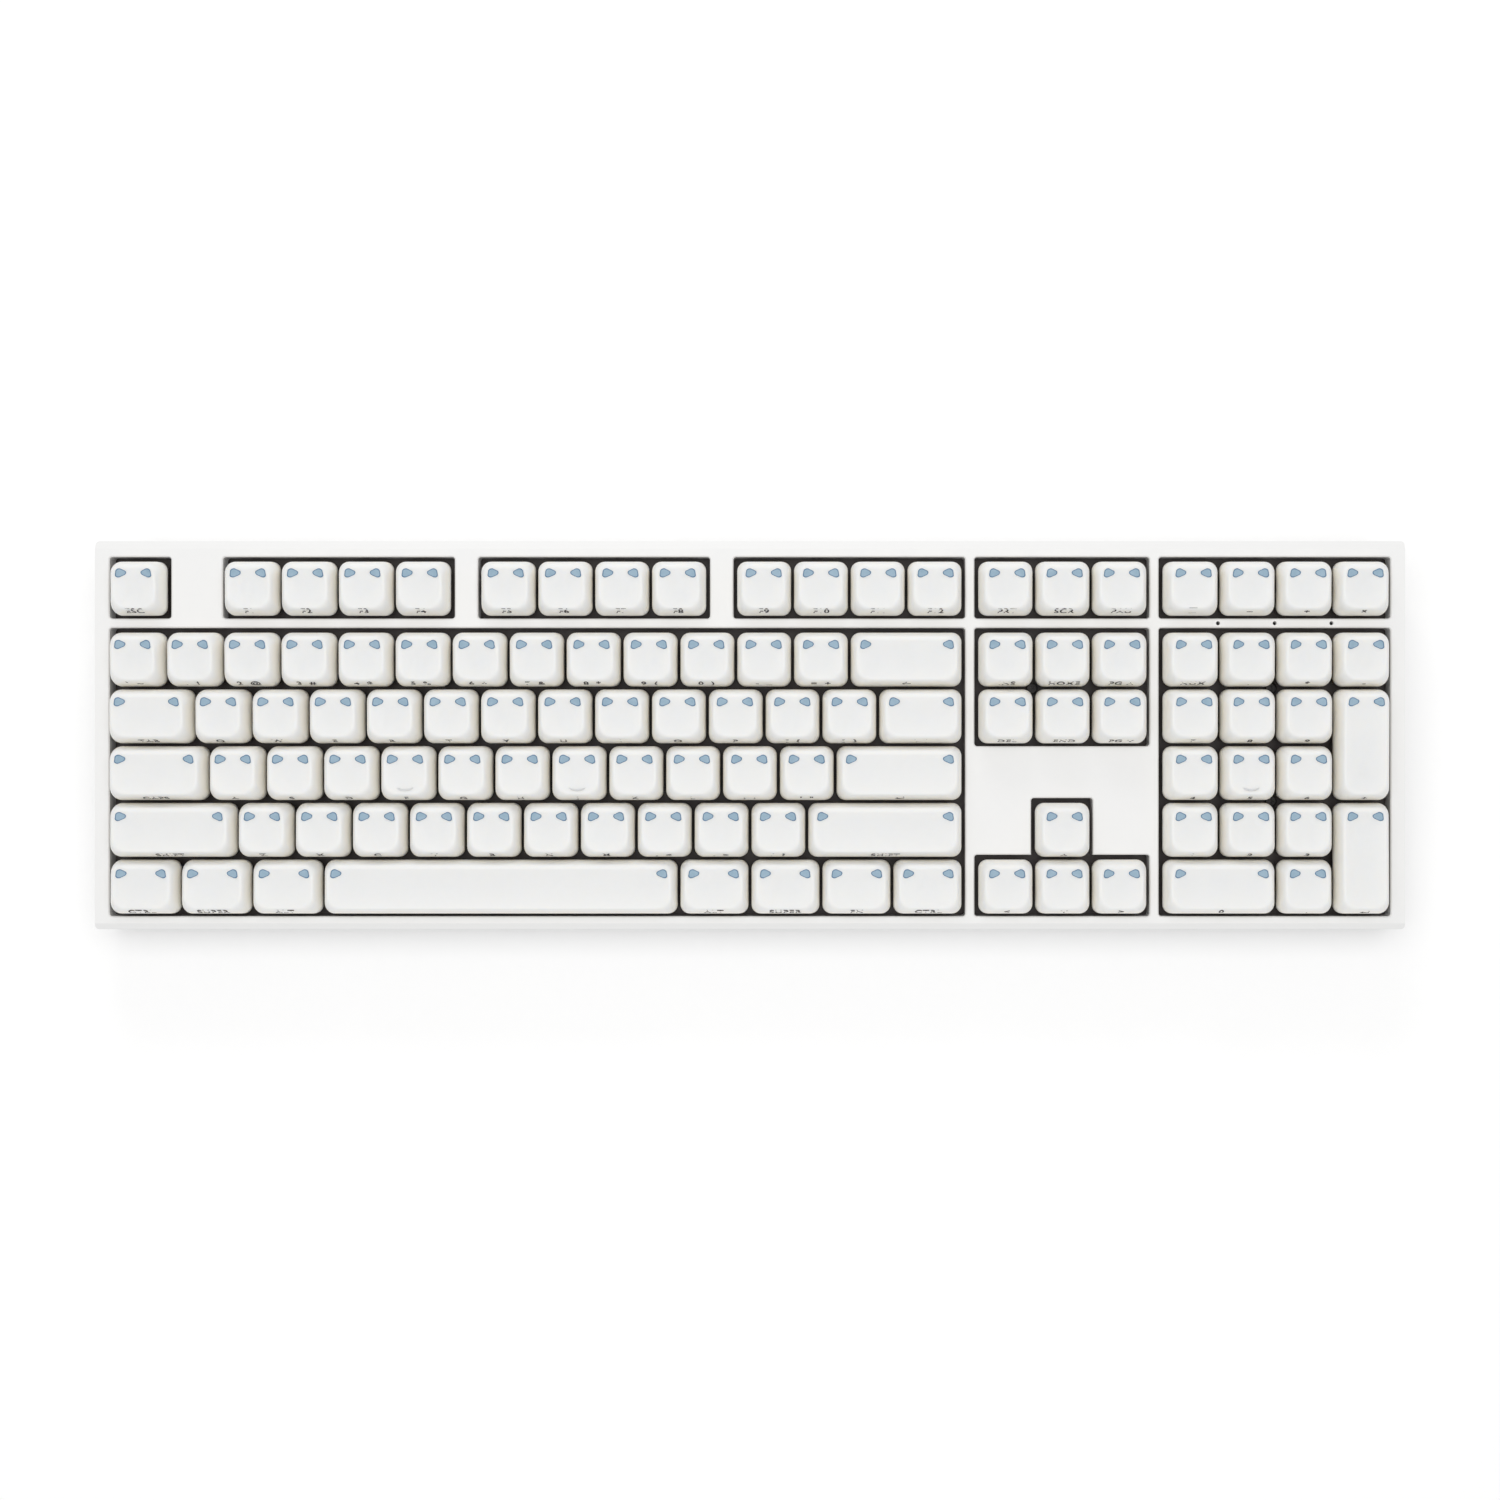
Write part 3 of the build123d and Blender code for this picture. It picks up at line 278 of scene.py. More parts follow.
# ================= shader groups shared by the finishes =================
def new_group(name, inputs, outputs):
    """An empty shader node group with named sockets."""
    group = bpy.data.node_groups.new(name, "ShaderNodeTree")
    for socket, kind, value in inputs:
        made = group.interface.new_socket(name=socket, in_out="INPUT", socket_type=kind)
        made.default_value = value
    for socket, kind in outputs:
        group.interface.new_socket(name=socket, in_out="OUTPUT", socket_type=kind)
    entry = group.nodes.new("NodeGroupInput")
    leave = group.nodes.new("NodeGroupOutput")
    return group, entry, leave


def add_math(tree, operation, first, second):
    """A Math node fed by sockets or plain numbers; returns its output."""
    node = tree.nodes.new("ShaderNodeMath")
    node.operation = operation
    for socket, value in zip(node.inputs, (first, second)):
        if isinstance(value, (int, float)):
            socket.default_value = value
        else:
            tree.links.new(value, socket)
    return node.outputs[0]


def add_noise(tree, scale, detail, roughness=0.6):
    """A Noise texture on object coordinates; scale may be a socket. Returns its value output."""
    place = tree.nodes.new("ShaderNodeTexCoord")
    noise = tree.nodes.new("ShaderNodeTexNoise")
    noise.inputs["Detail"].default_value = detail
    noise.inputs["Roughness"].default_value = roughness
    tree.links.new(place.outputs["Object"], noise.inputs["Vector"])
    if isinstance(scale, (int, float)):
        noise.inputs["Scale"].default_value = scale
    else:
        tree.links.new(scale, noise.inputs["Scale"])
    return noise.outputs["Fac"]


def mix_colour(tree, factor, first, second):
    """A colour Mix node fed by sockets or plain colours; returns its output."""
    node = tree.nodes.new("ShaderNodeMix")
    node.data_type = "RGBA"
    for socket, value in ((node.inputs["Factor"], factor), (node.inputs[6], first), (node.inputs[7], second)):
        if isinstance(value, (int, float)):
            socket.default_value = value
        elif isinstance(value, (tuple, list)):
            socket.default_value = value
        else:
            tree.links.new(value, socket)
    return node.outputs[2]


def build_grain_group():
    """Moulded grain: a fine height and a slower mottle, both from noise."""
    group, entry, leave = new_group(
        "Moulded grain",
        [("Scale", "NodeSocketFloat", 2500.0), ("Coarse", "NodeSocketFloat", 0.3)],
        [("Height", "NodeSocketFloat"), ("Mottle", "NodeSocketFloat")])
    fine = add_noise(group, entry.outputs["Scale"], 3.0)
    slower = add_math(group, "MULTIPLY", entry.outputs["Scale"], 0.12)
    slow = add_noise(group, slower, 4.0)
    share = add_math(group, "MULTIPLY", slow, entry.outputs["Coarse"])
    group.links.new(add_math(group, "ADD", fine, share), leave.inputs["Height"])
    group.links.new(slow, leave.inputs["Mottle"])
    return group


def build_painted_light_group():
    """Two colours by how steep a surface is, softened with a slow mottle: painted light and shade on the steep
    faces.
    """
    group, entry, leave = new_group(
        "Painted light and shade by steepness",
        [("Top", "NodeSocketColor", (0.8, 0.8, 0.8, 1.0)), ("Side", "NodeSocketColor", (0.7, 0.7, 0.7, 1.0)),
         ("Start", "NodeSocketFloat", 0.75), ("End", "NodeSocketFloat", 0.25),
         ("Mottle", "NodeSocketFloat", 0.5), ("Mottle amount", "NodeSocketFloat", 0.03)],
        [("Color", "NodeSocketColor")])
    shape = group.nodes.new("ShaderNodeNewGeometry")
    split = group.nodes.new("ShaderNodeSeparateXYZ")
    group.links.new(shape.outputs["Normal"], split.inputs[0])
    ramp = group.nodes.new("ShaderNodeMapRange")
    ramp.interpolation_type = "SMOOTHSTEP"
    group.links.new(split.outputs["Z"], ramp.inputs["Value"])
    group.links.new(entry.outputs["End"], ramp.inputs["From Min"])
    group.links.new(entry.outputs["Start"], ramp.inputs["From Max"])
    ramp.inputs["To Min"].default_value = 1.0
    ramp.inputs["To Max"].default_value = 0.0
    # Painted light and shade: steep faces (normal z below End) take the Side colour, flatter ones the Top colour.
    tone = mix_colour(group, ramp.outputs["Result"], entry.outputs["Top"], entry.outputs["Side"])
    swing = add_math(group, "SUBTRACT", entry.outputs["Mottle"], 0.5)
    swing = add_math(group, "MULTIPLY", swing, entry.outputs["Mottle amount"])
    bright = group.nodes.new("ShaderNodeBrightContrast")
    group.links.new(tone, bright.inputs["Color"])
    group.links.new(swing, bright.inputs["Bright"])
    group.links.new(bright.outputs[0], leave.inputs["Color"])
    return group


def build_handling_group():
    """Faint handling marks: the uneven roughness that they leave."""
    group, entry, leave = new_group(
        "Handling",
        [("Roughness", "NodeSocketFloat", 0.5), ("Swing", "NodeSocketFloat", 0.08),
         ("Scale", "NodeSocketFloat", 60.0)],
        [("Roughness", "NodeSocketFloat")])
    cloud = add_noise(group, entry.outputs["Scale"], 5.0, 0.7)
    centred = add_math(group, "SUBTRACT", cloud, 0.5)
    swing = add_math(group, "MULTIPLY", centred, entry.outputs["Swing"])
    group.links.new(add_math(group, "ADD", entry.outputs["Roughness"], swing), leave.inputs["Roughness"])
    return group


GROUPS = {}


def place_group(tree, name, **values):
    """Place a shared group in a material, with its own values."""
    node = tree.nodes.new("ShaderNodeGroup")
    node.node_tree = GROUPS[name]
    for socket, value in values.items():
        node.inputs[socket.replace("_", " ")].default_value = value
    return node


def opaque(colour):
    """A colour with its alpha."""
    return (*colour[:3], 1.0)


COAT_ROUGHNESS = 0.2
BUMP_STRENGTH = 0.5
BLEED_DISTANCE = 2.5 * MM         # how far light spreads inside a cap's plastic
BLEED_TINT = (1.0, 0.9, 0.75)


def finish(name, top, side=None, roughness=0.5, metal=0.0, grain=2500.0, depth=0.02, coarse=0.3,
           mottle=0.03, swing=0.08, coat=0.0, lean_start=0.75, lean_end=0.25, specular=0.5, subsurface=0.0):
    """A procedural finish: colour with painted light and shade on steep faces and a random mottle, grain as bump
    and uneven gloss. The grain's depth is in mm.
    """
    material = bpy.data.materials.new(name)
    material.use_nodes = True
    tree = material.node_tree
    shader = tree.nodes["Principled BSDF"]
    shader.inputs["Metallic"].default_value = metal
    shader.inputs["Specular IOR Level"].default_value = specular
    if coat:
        shader.inputs["Coat Weight"].default_value = coat
        shader.inputs["Coat Roughness"].default_value = COAT_ROUGHNESS
    if subsurface:
        shader.inputs["Subsurface Weight"].default_value = subsurface
        shader.inputs["Subsurface Scale"].default_value = BLEED_DISTANCE
        shader.inputs["Subsurface Radius"].default_value = BLEED_TINT
    grains = place_group(tree, "Moulded grain", Scale=grain, Coarse=coarse)
    # The side colour is painted light and shade on steep faces; the mottle is random tone.
    painted_tones = place_group(tree, "Painted light and shade by steepness", Top=opaque(top), Side=opaque(side or top),
                        Start=lean_start, End=lean_end, Mottle_amount=mottle)
    tree.links.new(grains.outputs["Mottle"], painted_tones.inputs["Mottle"])
    handled = place_group(tree, "Handling", Roughness=roughness, Swing=swing)
    bump = tree.nodes.new("ShaderNodeBump")
    bump.inputs["Strength"].default_value = BUMP_STRENGTH
    bump.inputs["Distance"].default_value = depth * MM
    tree.links.new(grains.outputs["Height"], bump.inputs["Height"])
    tree.links.new(painted_tones.outputs["Color"], shader.inputs["Base Color"])
    tree.links.new(handled.outputs["Roughness"], shader.inputs["Roughness"])
    tree.links.new(bump.outputs["Normal"], shader.inputs["Normal"])
    return material


FINISHES = {}


def make_finishes(look):
    """All finishes of the keyboard, by slot name."""
    dark = tuple(look.plate)
    # Caps: steep walls are painted lighter and warmer than the top, painted light on the walls and painted warm
    # shade in the gaps.
    FINISHES["keycap_ivory"] = finish("Keycap plastic", look.cap, look.cap_wall_painted_light_shade, 0.55, grain=4200.0,
                                      depth=0.018, mottle=0.02, lean_start=0.6, lean_end=0.1, subsurface=0.5)
    FINISHES["mark_blue"] = finish("Dyed mark", look.mark, None, 0.6, grain=2600.0, depth=0.01, mottle=0.16)
    FINISHES["mark_rim"] = finish("Dyed mark rim", look.mark_rim, None, 0.6, grain=2600.0, depth=0.01,
                                  mottle=0.06)
    FINISHES["legend_grey"] = finish("Dyed legend", look.legend, None, 0.65, grain=4200.0, depth=0.01)
    # Case: its steep faces are painted 1.5% darker than the top, a painted shade.
    FINISHES["case_white"] = finish("Case plastic", look.case, [part * 0.985 for part in look.case], 0.42,
                                    grain=3000.0, depth=0.012, mottle=0.015, swing=0.1)
    FINISHES["plate_dark"] = finish("Plate powder coat", look.plate, None, 0.5, grain=3500.0, depth=0.03,
                                    mottle=0.02)
    FINISHES["board_black"] = finish("Solder mask", (0.012, 0.018, 0.014), None, 0.3, grain=900.0, depth=0.005)
    FINISHES["switch_black"] = finish("Switch housing", [part * 1.4 for part in dark], None, 0.4, grain=3000.0,
                                      depth=0.01)
    FINISHES["slider_brown"] = finish("Slider plastic", (0.16, 0.07, 0.035), None, 0.35, grain=3000.0,
                                      depth=0.006)
    FINISHES["spring_steel"] = finish("Drawn wire", (0.6, 0.6, 0.61), None, 0.25, metal=1.0, grain=6000.0,
                                      depth=0.004)
    FINISHES["contact_brass"] = finish("Stamped brass", (0.75, 0.56, 0.28), None, 0.28, metal=1.0,
                                       grain=5000.0, depth=0.004)
    FINISHES["screw_steel"] = finish("Zinc plating", (0.52, 0.52, 0.54), None, 0.33, metal=1.0, grain=4000.0,
                                     depth=0.006, mottle=0.05)
    FINISHES["screw_dark"] = finish("Blackened screw", (0.03, 0.028, 0.028), None, 0.4, metal=0.8,
                                    grain=4000.0, depth=0.006)
    FINISHES["lamp_clear"] = finish("Lamp epoxy", (0.55, 0.6, 0.62), None, 0.12, grain=600.0, depth=0.002,
                                    coat=0.6)
    FINISHES["chip_black"] = finish("Chip epoxy", (0.012, 0.012, 0.013), None, 0.5, grain=5000.0, depth=0.01)
    FINISHES["socket_steel"] = finish("Socket shell", (0.62, 0.62, 0.64), None, 0.25, metal=1.0, grain=1500.0,
                                      depth=0.004)
    FINISHES["rubber_grey"] = finish("Pad rubber", (0.03, 0.03, 0.032), None, 0.8, grain=2200.0, depth=0.05,
                                     mottle=0.01)


# ================= mesh helpers =================
def new_piece(name, points, faces, materials, face_materials=None, smooth=True):
    """A mesh object from deck coordinates, placed in the world."""
    mesh = bpy.data.meshes.new(name)
    placed = [DECK @ Vector(point) for point in points]
    mesh.from_pydata([tuple(point) for point in placed], [], faces)
    mesh.validate()
    for material in materials:
        mesh.materials.append(material)
    if face_materials is not None:
        mesh.polygons.foreach_set("material_index", face_materials)
    mesh.polygons.foreach_set("use_smooth", [smooth] * len(mesh.polygons))
    mesh.update()
    piece = bpy.data.objects.new(name, mesh)
    bpy.context.collection.objects.link(piece)
    return piece


class Shape:
    """Points and faces gathered for one piece."""

    def __init__(self):
        self.points = []
        self.faces = []
        self.paint = []

    def add(self, points, faces, paint=0):
        """Add points with faces that count from the first of them."""
        start = len(self.points)
        self.points.extend(points)
        self.faces.extend([tuple(start + corner for corner in face) for face in faces])
        self.paint.extend([paint] * len(faces))

    def add_rings(self, rings, paint=0, close_first=False, close_last=False):
        """Skin a stack of equal closed rings, with a middle point over an end that is closed."""
        count = len(rings[0])
        points = [point for ring in rings for point in ring]
        faces = []
        for level in range(len(rings) - 1):
            low, high = level * count, (level + 1) * count
            for step in range(count):
                after = (step + 1) % count
                faces.append((low + step, low + after, high + after, high + step))
        for wanted, ring, flip in ((close_first, 0, True), (close_last, len(rings) - 1, False)):
            if not wanted:
                continue
            middle = tuple(sum(point[axis] for point in rings[ring]) / count for axis in range(3))
            points.append(middle)
            base, top = ring * count, len(points) - 1
            for step in range(count):
                pair = (base + step, base + (step + 1) % count)
                faces.append((pair[1], pair[0], top) if flip else (*pair, top))
        self.add(points, faces, paint)

    def add_block(self, low, high, paint=0):
        """A box with slightly cut edges, from its lowest to its highest corner."""
        cut = min(high[axis] - low[axis] for axis in range(3)) * 0.12
        rings = []
        for inset, z in ((cut, low[2]), (0, low[2] + cut), (0, high[2] - cut), (cut, high[2])):
            left, right = low[0] + inset, high[0] - inset
            front, rear = low[1] + inset, high[1] - inset
            rings.append([(left + cut, front, z), (right - cut, front, z), (right, front + cut, z),
                          (right, rear - cut, z), (right - cut, rear, z), (left + cut, rear, z),
                          (left, rear - cut, z), (left, front + cut, z)])
        self.add_rings(rings, paint, close_first=True, close_last=True)

    def build(self, name, materials, smooth=True):
        """Make the piece."""
        return new_piece(name, self.points, self.faces, materials, self.paint, smooth)


CORNER_STEPS = 7
SIDE_STEP = 2.0 * MM              # length of the parts that a side is cut into
CORNER_SHARE = 3                  # how many such parts the two corners of a side take up
FEWEST_STEPS = 5
WALL_POWER = 2.6                  # roundness of the walls' shoulder
SHOULDER_INSETS = [step * MM for step in (0.04, 0.12, 0.22, 0.36, 0.54, 0.75, 1.0, 1.25, 1.5, 1.72, 1.92, 2.1,
                                          2.28, 2.46, 2.64, 2.82, 3.0, 3.2, 3.45, 3.8)]


def outline(half_x, half_y, radius, steps_x, steps_y):
    """Rounded rectangle, anticlockwise from the front right corner, its sides cut into equal steps."""
    points = []
    corners = [((1, -1), (0, 1), half_y, steps_y), ((1, 1), (-1, 0), half_x, steps_x),
               ((-1, 1), (0, -1), half_y, steps_y), ((-1, -1), (1, 0), half_x, steps_x)]
    for number, ((sign_x, sign_y), (turn_x, turn_y), half, steps) in enumerate(corners):
        middle = (sign_x * (half_x - radius), sign_y * (half_y - radius))
        for step in range(CORNER_STEPS + 1):
            angle = math.radians(90 * (number - 1) + 90 * step / CORNER_STEPS)
            points.append((middle[0] + radius * math.cos(angle), middle[1] + radius * math.sin(angle)))
        last = points[-1]
        for step in range(1, steps):
            share = 2 * (half - radius) * step / steps
            points.append((last[0] + turn_x * share, last[1] + turn_y * share))
    return points


# ================= the caps =================
SKIRT_CUT = 0.1 * MM              # cut along the skirt's edges
ROOF_THICKNESS = 1.6 * MM         # from the dish's lowest point to the roof inside
ROOF_INSET = 1.9 * MM             # how far the inner walls have leaned in at the roof
INNER_BEND = 5.5 * MM             # height over the skirt at which the inner walls start to lean in
INNER_BEND_INSET = 0.5 * MM
ROOF_CORNER, BEND_CORNER, INNER_CORNER, MOUTH_CORNER = 1.2 * MM, 1.4 * MM, 1.5 * MM, 1.6 * MM
DISH_SHARES = (0.93, 0.86, 0.78, 0.68, 0.56, 0.42, 0.25, 0.08)       # rings from the rim to the middle
POST_SIDES = 20
POST_RADIUS, POST_BORE, POST_CUT = 2.8 * MM, 2.1 * MM, 0.15 * MM
BORE_MOUTH, BORE_MOUTH_DEPTH = 2.3 * MM, 0.3 * MM
POST_OVERLAP = 0.4 * MM           # how far the post runs into the roof
BAR_HALF, BAR_WIDTH, BAR_HEIGHT = 2.65 * MM, 0.5 * MM, 0.32 * MM
BAR_FORWARD, BAR_CURL = 5.6 * MM, 0.75 * MM      # place in front of the cap's middle; rise of its ends
BAR_STEPS, BAR_SIDES = 16, 8
INK_LIFT = 0.03 * MM              # how proud of the plastic a legend or a mark lies


class CapForm:
    """The surface of one key's cap: upright walls that round over, a ridge at the rear and a dish."""

    def __init__(self, key, settings):
        self.key = key
        self.set = settings
        self.steps_x = max(FEWEST_STEPS, round(2 * key.half_x / SIDE_STEP) - CORNER_SHARE)
        self.steps_y = max(FEWEST_STEPS, round(2 * key.half_y / SIDE_STEP) - CORNER_SHARE)
        self.flat_x = max(0.0, (key.width - 1) * UNIT / 2)
        self.flat_y = max(0.0, (key.depth - 1) * UNIT / 2)
        self.ridge_y = key.half_y - settings.ridge

    def crown(self, y):
        """Deck height that the shoulders reach, leaning as the row does."""
        return self.key.top + self.key.lean * y - abs(self.key.lean) * UNIT / 2

    def dish(self, x, y):
        """Deck height of the scooped top over a point counted from the key's middle."""
        reach_x = max(abs(x) - self.flat_x, 0.0)
        held_y = min(y, self.ridge_y)
        reach_y = max(abs(held_y - self.set.dish_front) - self.flat_y, 0.0)
        bowl = (reach_x ** 2 + reach_y ** 2) / (2 * self.set.dish_radius)
        fall = self.set.ridge_fall * (y - held_y)
        return self.crown(y) - self.set.dish_depth + bowl - fall

    def shoulder(self, inset, y):
        """Deck height of the wall and its rounded shoulder at an inset from the skirt."""
        share = min(inset / self.set.shoulder, 1.0)
        return SKIRT + (self.crown(y) - SKIRT) * math.sqrt(1 - (1 - share) ** WALL_POWER)

    def inset_at(self, height, y):
        """The inset at which the wall is a height over the skirt."""
        share = min(height / (self.crown(y) - SKIRT), 1.0)
        return self.set.shoulder * (1 - (1 - share ** 2) ** (1 / WALL_POWER))

    def surface(self, x, y, inset):
        """Deck height of the finished top: the lower of shoulder and dish, with a soft crease between."""
        wall, dish = self.shoulder(inset, y), self.dish(x, y)
        blend = min(max(0.5 + 0.5 * (dish - wall) / self.set.crease, 0.0), 1.0)
        return dish + (wall - dish) * blend - self.set.crease * blend * (1 - blend)

    def flat_ring(self, inset, radius):
        """The cap's outline at an inset from the skirt, counted from the key's middle."""
        return outline(self.key.half_x - inset, self.key.half_y - inset, radius, self.steps_x, self.steps_y)

    def level_ring(self, inset, radius, height):
        """A ring of the cap at one deck height."""
        return [(self.key.x + x, self.key.y + y, height) for x, y in self.flat_ring(inset, radius)]

    def top_ring(self, inset, radius):
        """A ring of the cap that follows its outer surface."""
        return [(self.key.x + x, self.key.y + y, self.surface(x, y, inset))
                for x, y in self.flat_ring(inset, radius)]

    def add_to(self, shape):
        """Add the closed cap to a shape."""
        settings = self.set
        inner_roof = self.key.top - settings.dish_depth - ROOF_THICKNESS
        rings = [self.level_ring(settings.wall + ROOF_INSET, ROOF_CORNER, inner_roof),
                 self.level_ring(settings.wall + INNER_BEND_INSET, BEND_CORNER, SKIRT + INNER_BEND),
                 self.level_ring(settings.wall, INNER_CORNER, SKIRT + SKIRT_CUT),
                 self.level_ring(settings.wall - SKIRT_CUT, MOUTH_CORNER, SKIRT),
                 self.level_ring(SKIRT_CUT, settings.skirt_corner, SKIRT),
                 self.level_ring(0.0, settings.skirt_corner, SKIRT + SKIRT_CUT)]
        for inset in SHOULDER_INSETS:
            share = min(inset / settings.shoulder, 1.0)
            radius = settings.skirt_corner + (settings.crown_corner - settings.skirt_corner) * share ** 0.5
            rings.append(self.top_ring(inset, radius))
        rim = [(x - self.key.x, y - self.key.y) for x, y, _ in rings[-1]]
        for share in DISH_SHARES:
            rings.append([self.dish_point(x, y, share) for x, y in rim])
        shape.add_rings(rings, close_first=True, close_last=True)
        for reach_x, reach_y in stem_spots(self.key):
            self.add_stem(shape, reach_x, reach_y, inner_roof)
        if self.key.homing:
            self.add_homing_bar(shape)

    def dish_point(self, x, y, share):
        """A rim point drawn in towards the cap's middle line, set on the dish."""
        keep_x = math.copysign(min(abs(x), self.flat_x), x)
        keep_y = math.copysign(min(abs(y), self.flat_y), y)
        inner_x, inner_y = x * share, y * share
        if self.flat_x:
            inner_x = keep_x * share ** 0.5 + (x - keep_x) * share
        elif self.flat_y:
            inner_y = keep_y * share ** 0.5 + (y - keep_y) * share
        return (self.key.x + inner_x, self.key.y + inner_y, self.surface(inner_x, inner_y, UNIT))

    def add_stem(self, shape, reach_x, reach_y, roof):
        """The round post under the roof that grips a slider's stem."""
        high = roof + POST_OVERLAP
        profile = ((POST_BORE, high), (POST_BORE, STEM_BOTTOM + BORE_MOUTH_DEPTH), (BORE_MOUTH, STEM_BOTTOM),
                   (POST_RADIUS - POST_CUT, STEM_BOTTOM), (POST_RADIUS, STEM_BOTTOM + POST_CUT),
                   (POST_RADIUS, high))
        angles = [2 * math.pi * side / POST_SIDES for side in range(POST_SIDES)]
        rings = [[(self.key.x + reach_x + radius * math.cos(angle),
                   self.key.y + reach_y + radius * math.sin(angle), z) for angle in angles]
                 for radius, z in profile]
        rings.append(rings[0])
        shape.add_rings(rings)

    def add_homing_bar(self, shape):
        """A low curved bar in front of the dish's middle, its ends turned up towards the rear."""
        rings = []
        for step in range(BAR_STEPS + 1):
            share = 2 * step / BAR_STEPS - 1
            x = BAR_HALF * share
            y = BAR_CURL * share ** 2 - BAR_FORWARD
            fade = math.sqrt(max(0.02, 1 - share ** 8))        # rounds the ends off
            ring = []
            for side in range(BAR_SIDES):
                angle = 2 * math.pi * side / BAR_SIDES
                offset_y = BAR_WIDTH / 2 * fade * math.cos(angle)
                ring.append((self.key.x + x, self.key.y + y + offset_y,
                             self.surface(x, y + offset_y, UNIT) + BAR_HEIGHT * fade * math.sin(angle)))
            rings.append(ring)
        shape.add_rings(rings, close_first=True, close_last=True)

    def wall_point(self, x, height):
        """A point on the front wall at a height over the skirt, just proud of the plastic."""
        front = -self.key.half_y
        inset = self.inset_at(height, front)
        return (self.key.x + x, self.key.y + front + inset - INK_LIFT, SKIRT + height)


def stem_spots(key):
    """Where the stems stand, counted from the key's middle."""
    longest = max(key.width, key.depth)
    if longest < 2:
        return [(0.0, 0.0)]
    reach = SPACE_BAR_REACH if longest > 3 else STABILIZER_REACH
    if key.depth > 1:
        return [(0.0, -reach), (0.0, 0.0), (0.0, reach)]
    return [(-reach, 0.0), (0.0, 0.0), (reach, 0.0)]


class KEYBOARD_OT_caps(Operator):
    """Build every keycap: closed, dished, with its post and, on three keys, a bar to feel for"""
    bl_idname = "keyboard.caps"
    bl_label = "Keycaps"

    def execute(self, context):
        settings = context.scene.keyboard_caps
        for node, keys in KEYS.items():
            shape = Shape()
            for key in keys:
                CapForm(key, settings).add_to(shape)
            caps = shape.build(f"caps_{node}", [FINISHES["keycap_ivory"]])
            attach(caps, node)
            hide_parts(node)
        return {"FINISHED"}


SWITCH_SLIDER = (3.6 * MM, 3.0 * MM, 3.2 * MM)         # half width, half depth, deck height of its foot
STABILIZER_SLIDER = (2.2 * MM, 3.0 * MM, 2.6 * MM)
CROSS_HALF, CROSS_THIN = 2.0 * MM, 0.6 * MM
FLANGE_HALF, FLANGE_TOP = (4.8 * MM, 3.8 * MM), 5.2 * MM


class KEYBOARD_OT_sliders(Operator):
    """Build the slider under each cap: a flanged block with a plus-shaped stem and a guide post"""
    bl_idname = "keyboard.sliders"
    bl_label = "Sliders"

    def execute(self, context):
        for node, keys in KEYS.items():
            shape = Shape()
            for key in keys:
                for reach_x, reach_y in stem_spots(key):
                    self.add_slider(shape, key.x + reach_x, key.y + reach_y, not (reach_x or reach_y))
            sliders = shape.build(f"sliders_{node}", [FINISHES["slider_brown"]], smooth=False)
            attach(sliders, node)
            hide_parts(node)
        return {"FINISHED"}

    def add_slider(self, shape, x, y, in_switch):
        """One slider at a deck point; a stabiliser's is narrower and has no flange."""
        wide, deep, bottom = SWITCH_SLIDER if in_switch else STABILIZER_SLIDER
        blocks = [((wide, deep), (bottom, SLIDER_TOP)),
                  ((CROSS_HALF, CROSS_THIN), (SLIDER_TOP, STEM_TOP)),
                  ((CROSS_THIN, CROSS_HALF), (SLIDER_TOP, STEM_TOP))]
        if in_switch:
            blocks.append((FLANGE_HALF, (bottom, FLANGE_TOP)))
        for (half_x, half_y), (low, high) in blocks:
            shape.add_block((x - half_x, y - half_y, low), (x + half_x, y + half_y, high))


# ================= marks and legends =================
MARK_SIDE_INSET = 5.315 * MM      # from the side of a key's cell to a mark's middle
MARK_REAR = 4.7 * MM              # behind the middle of a cell
MARK_EDGE = (0.0, -0.02 * MM)     # rim widths in from the outline, and lift over the plastic
MARK_BANDS = [MARK_EDGE, (0.0, INK_LIFT)] + [(band, 0.034 * MM) for band in (1.0, 2.2, 3.6, 4.9)]
MARK_RIM_BANDS = 3                # how many of the bands make the rim
LEGEND_HEIGHT = 6.5 * MM          # middle of the letters over the skirt
LEGEND_BOLDNESS = 0.09 * MM
DROP_SIDES = [((-0.99, 0.139), 1.52), ((0.44, 0.898), 1.44), ((0.416, -0.91), 1.21)]       # normal, distance
DROP_POWER = 1.6


def drop_outline(length, height, count=42):
    """A plain drop: a smooth three-sided loop, blunt at -x and drawn out to a soft tip at +x."""
    points = []
    for step in range(count):
        angle = 2 * math.pi * step / count
        x, y = math.cos(angle), math.sin(angle)
        pulls = [max(0.0, (normal[0] * x + normal[1] * y) / away) for normal, away in DROP_SIDES]
        reach = sum(pull ** DROP_POWER for pull in pulls) ** (-1 / DROP_POWER)
        points.append((x * reach, y * reach))
    low = [min(point[axis] for point in points) for axis in (0, 1)]
    high = [max(point[axis] for point in points) for axis in (0, 1)]
    return [((x - (low[0] + high[0]) / 2) / (high[0] - low[0]) * length,
             (y - (low[1] + high[1]) / 2) / (high[1] - low[1]) * height) for x, y in points]


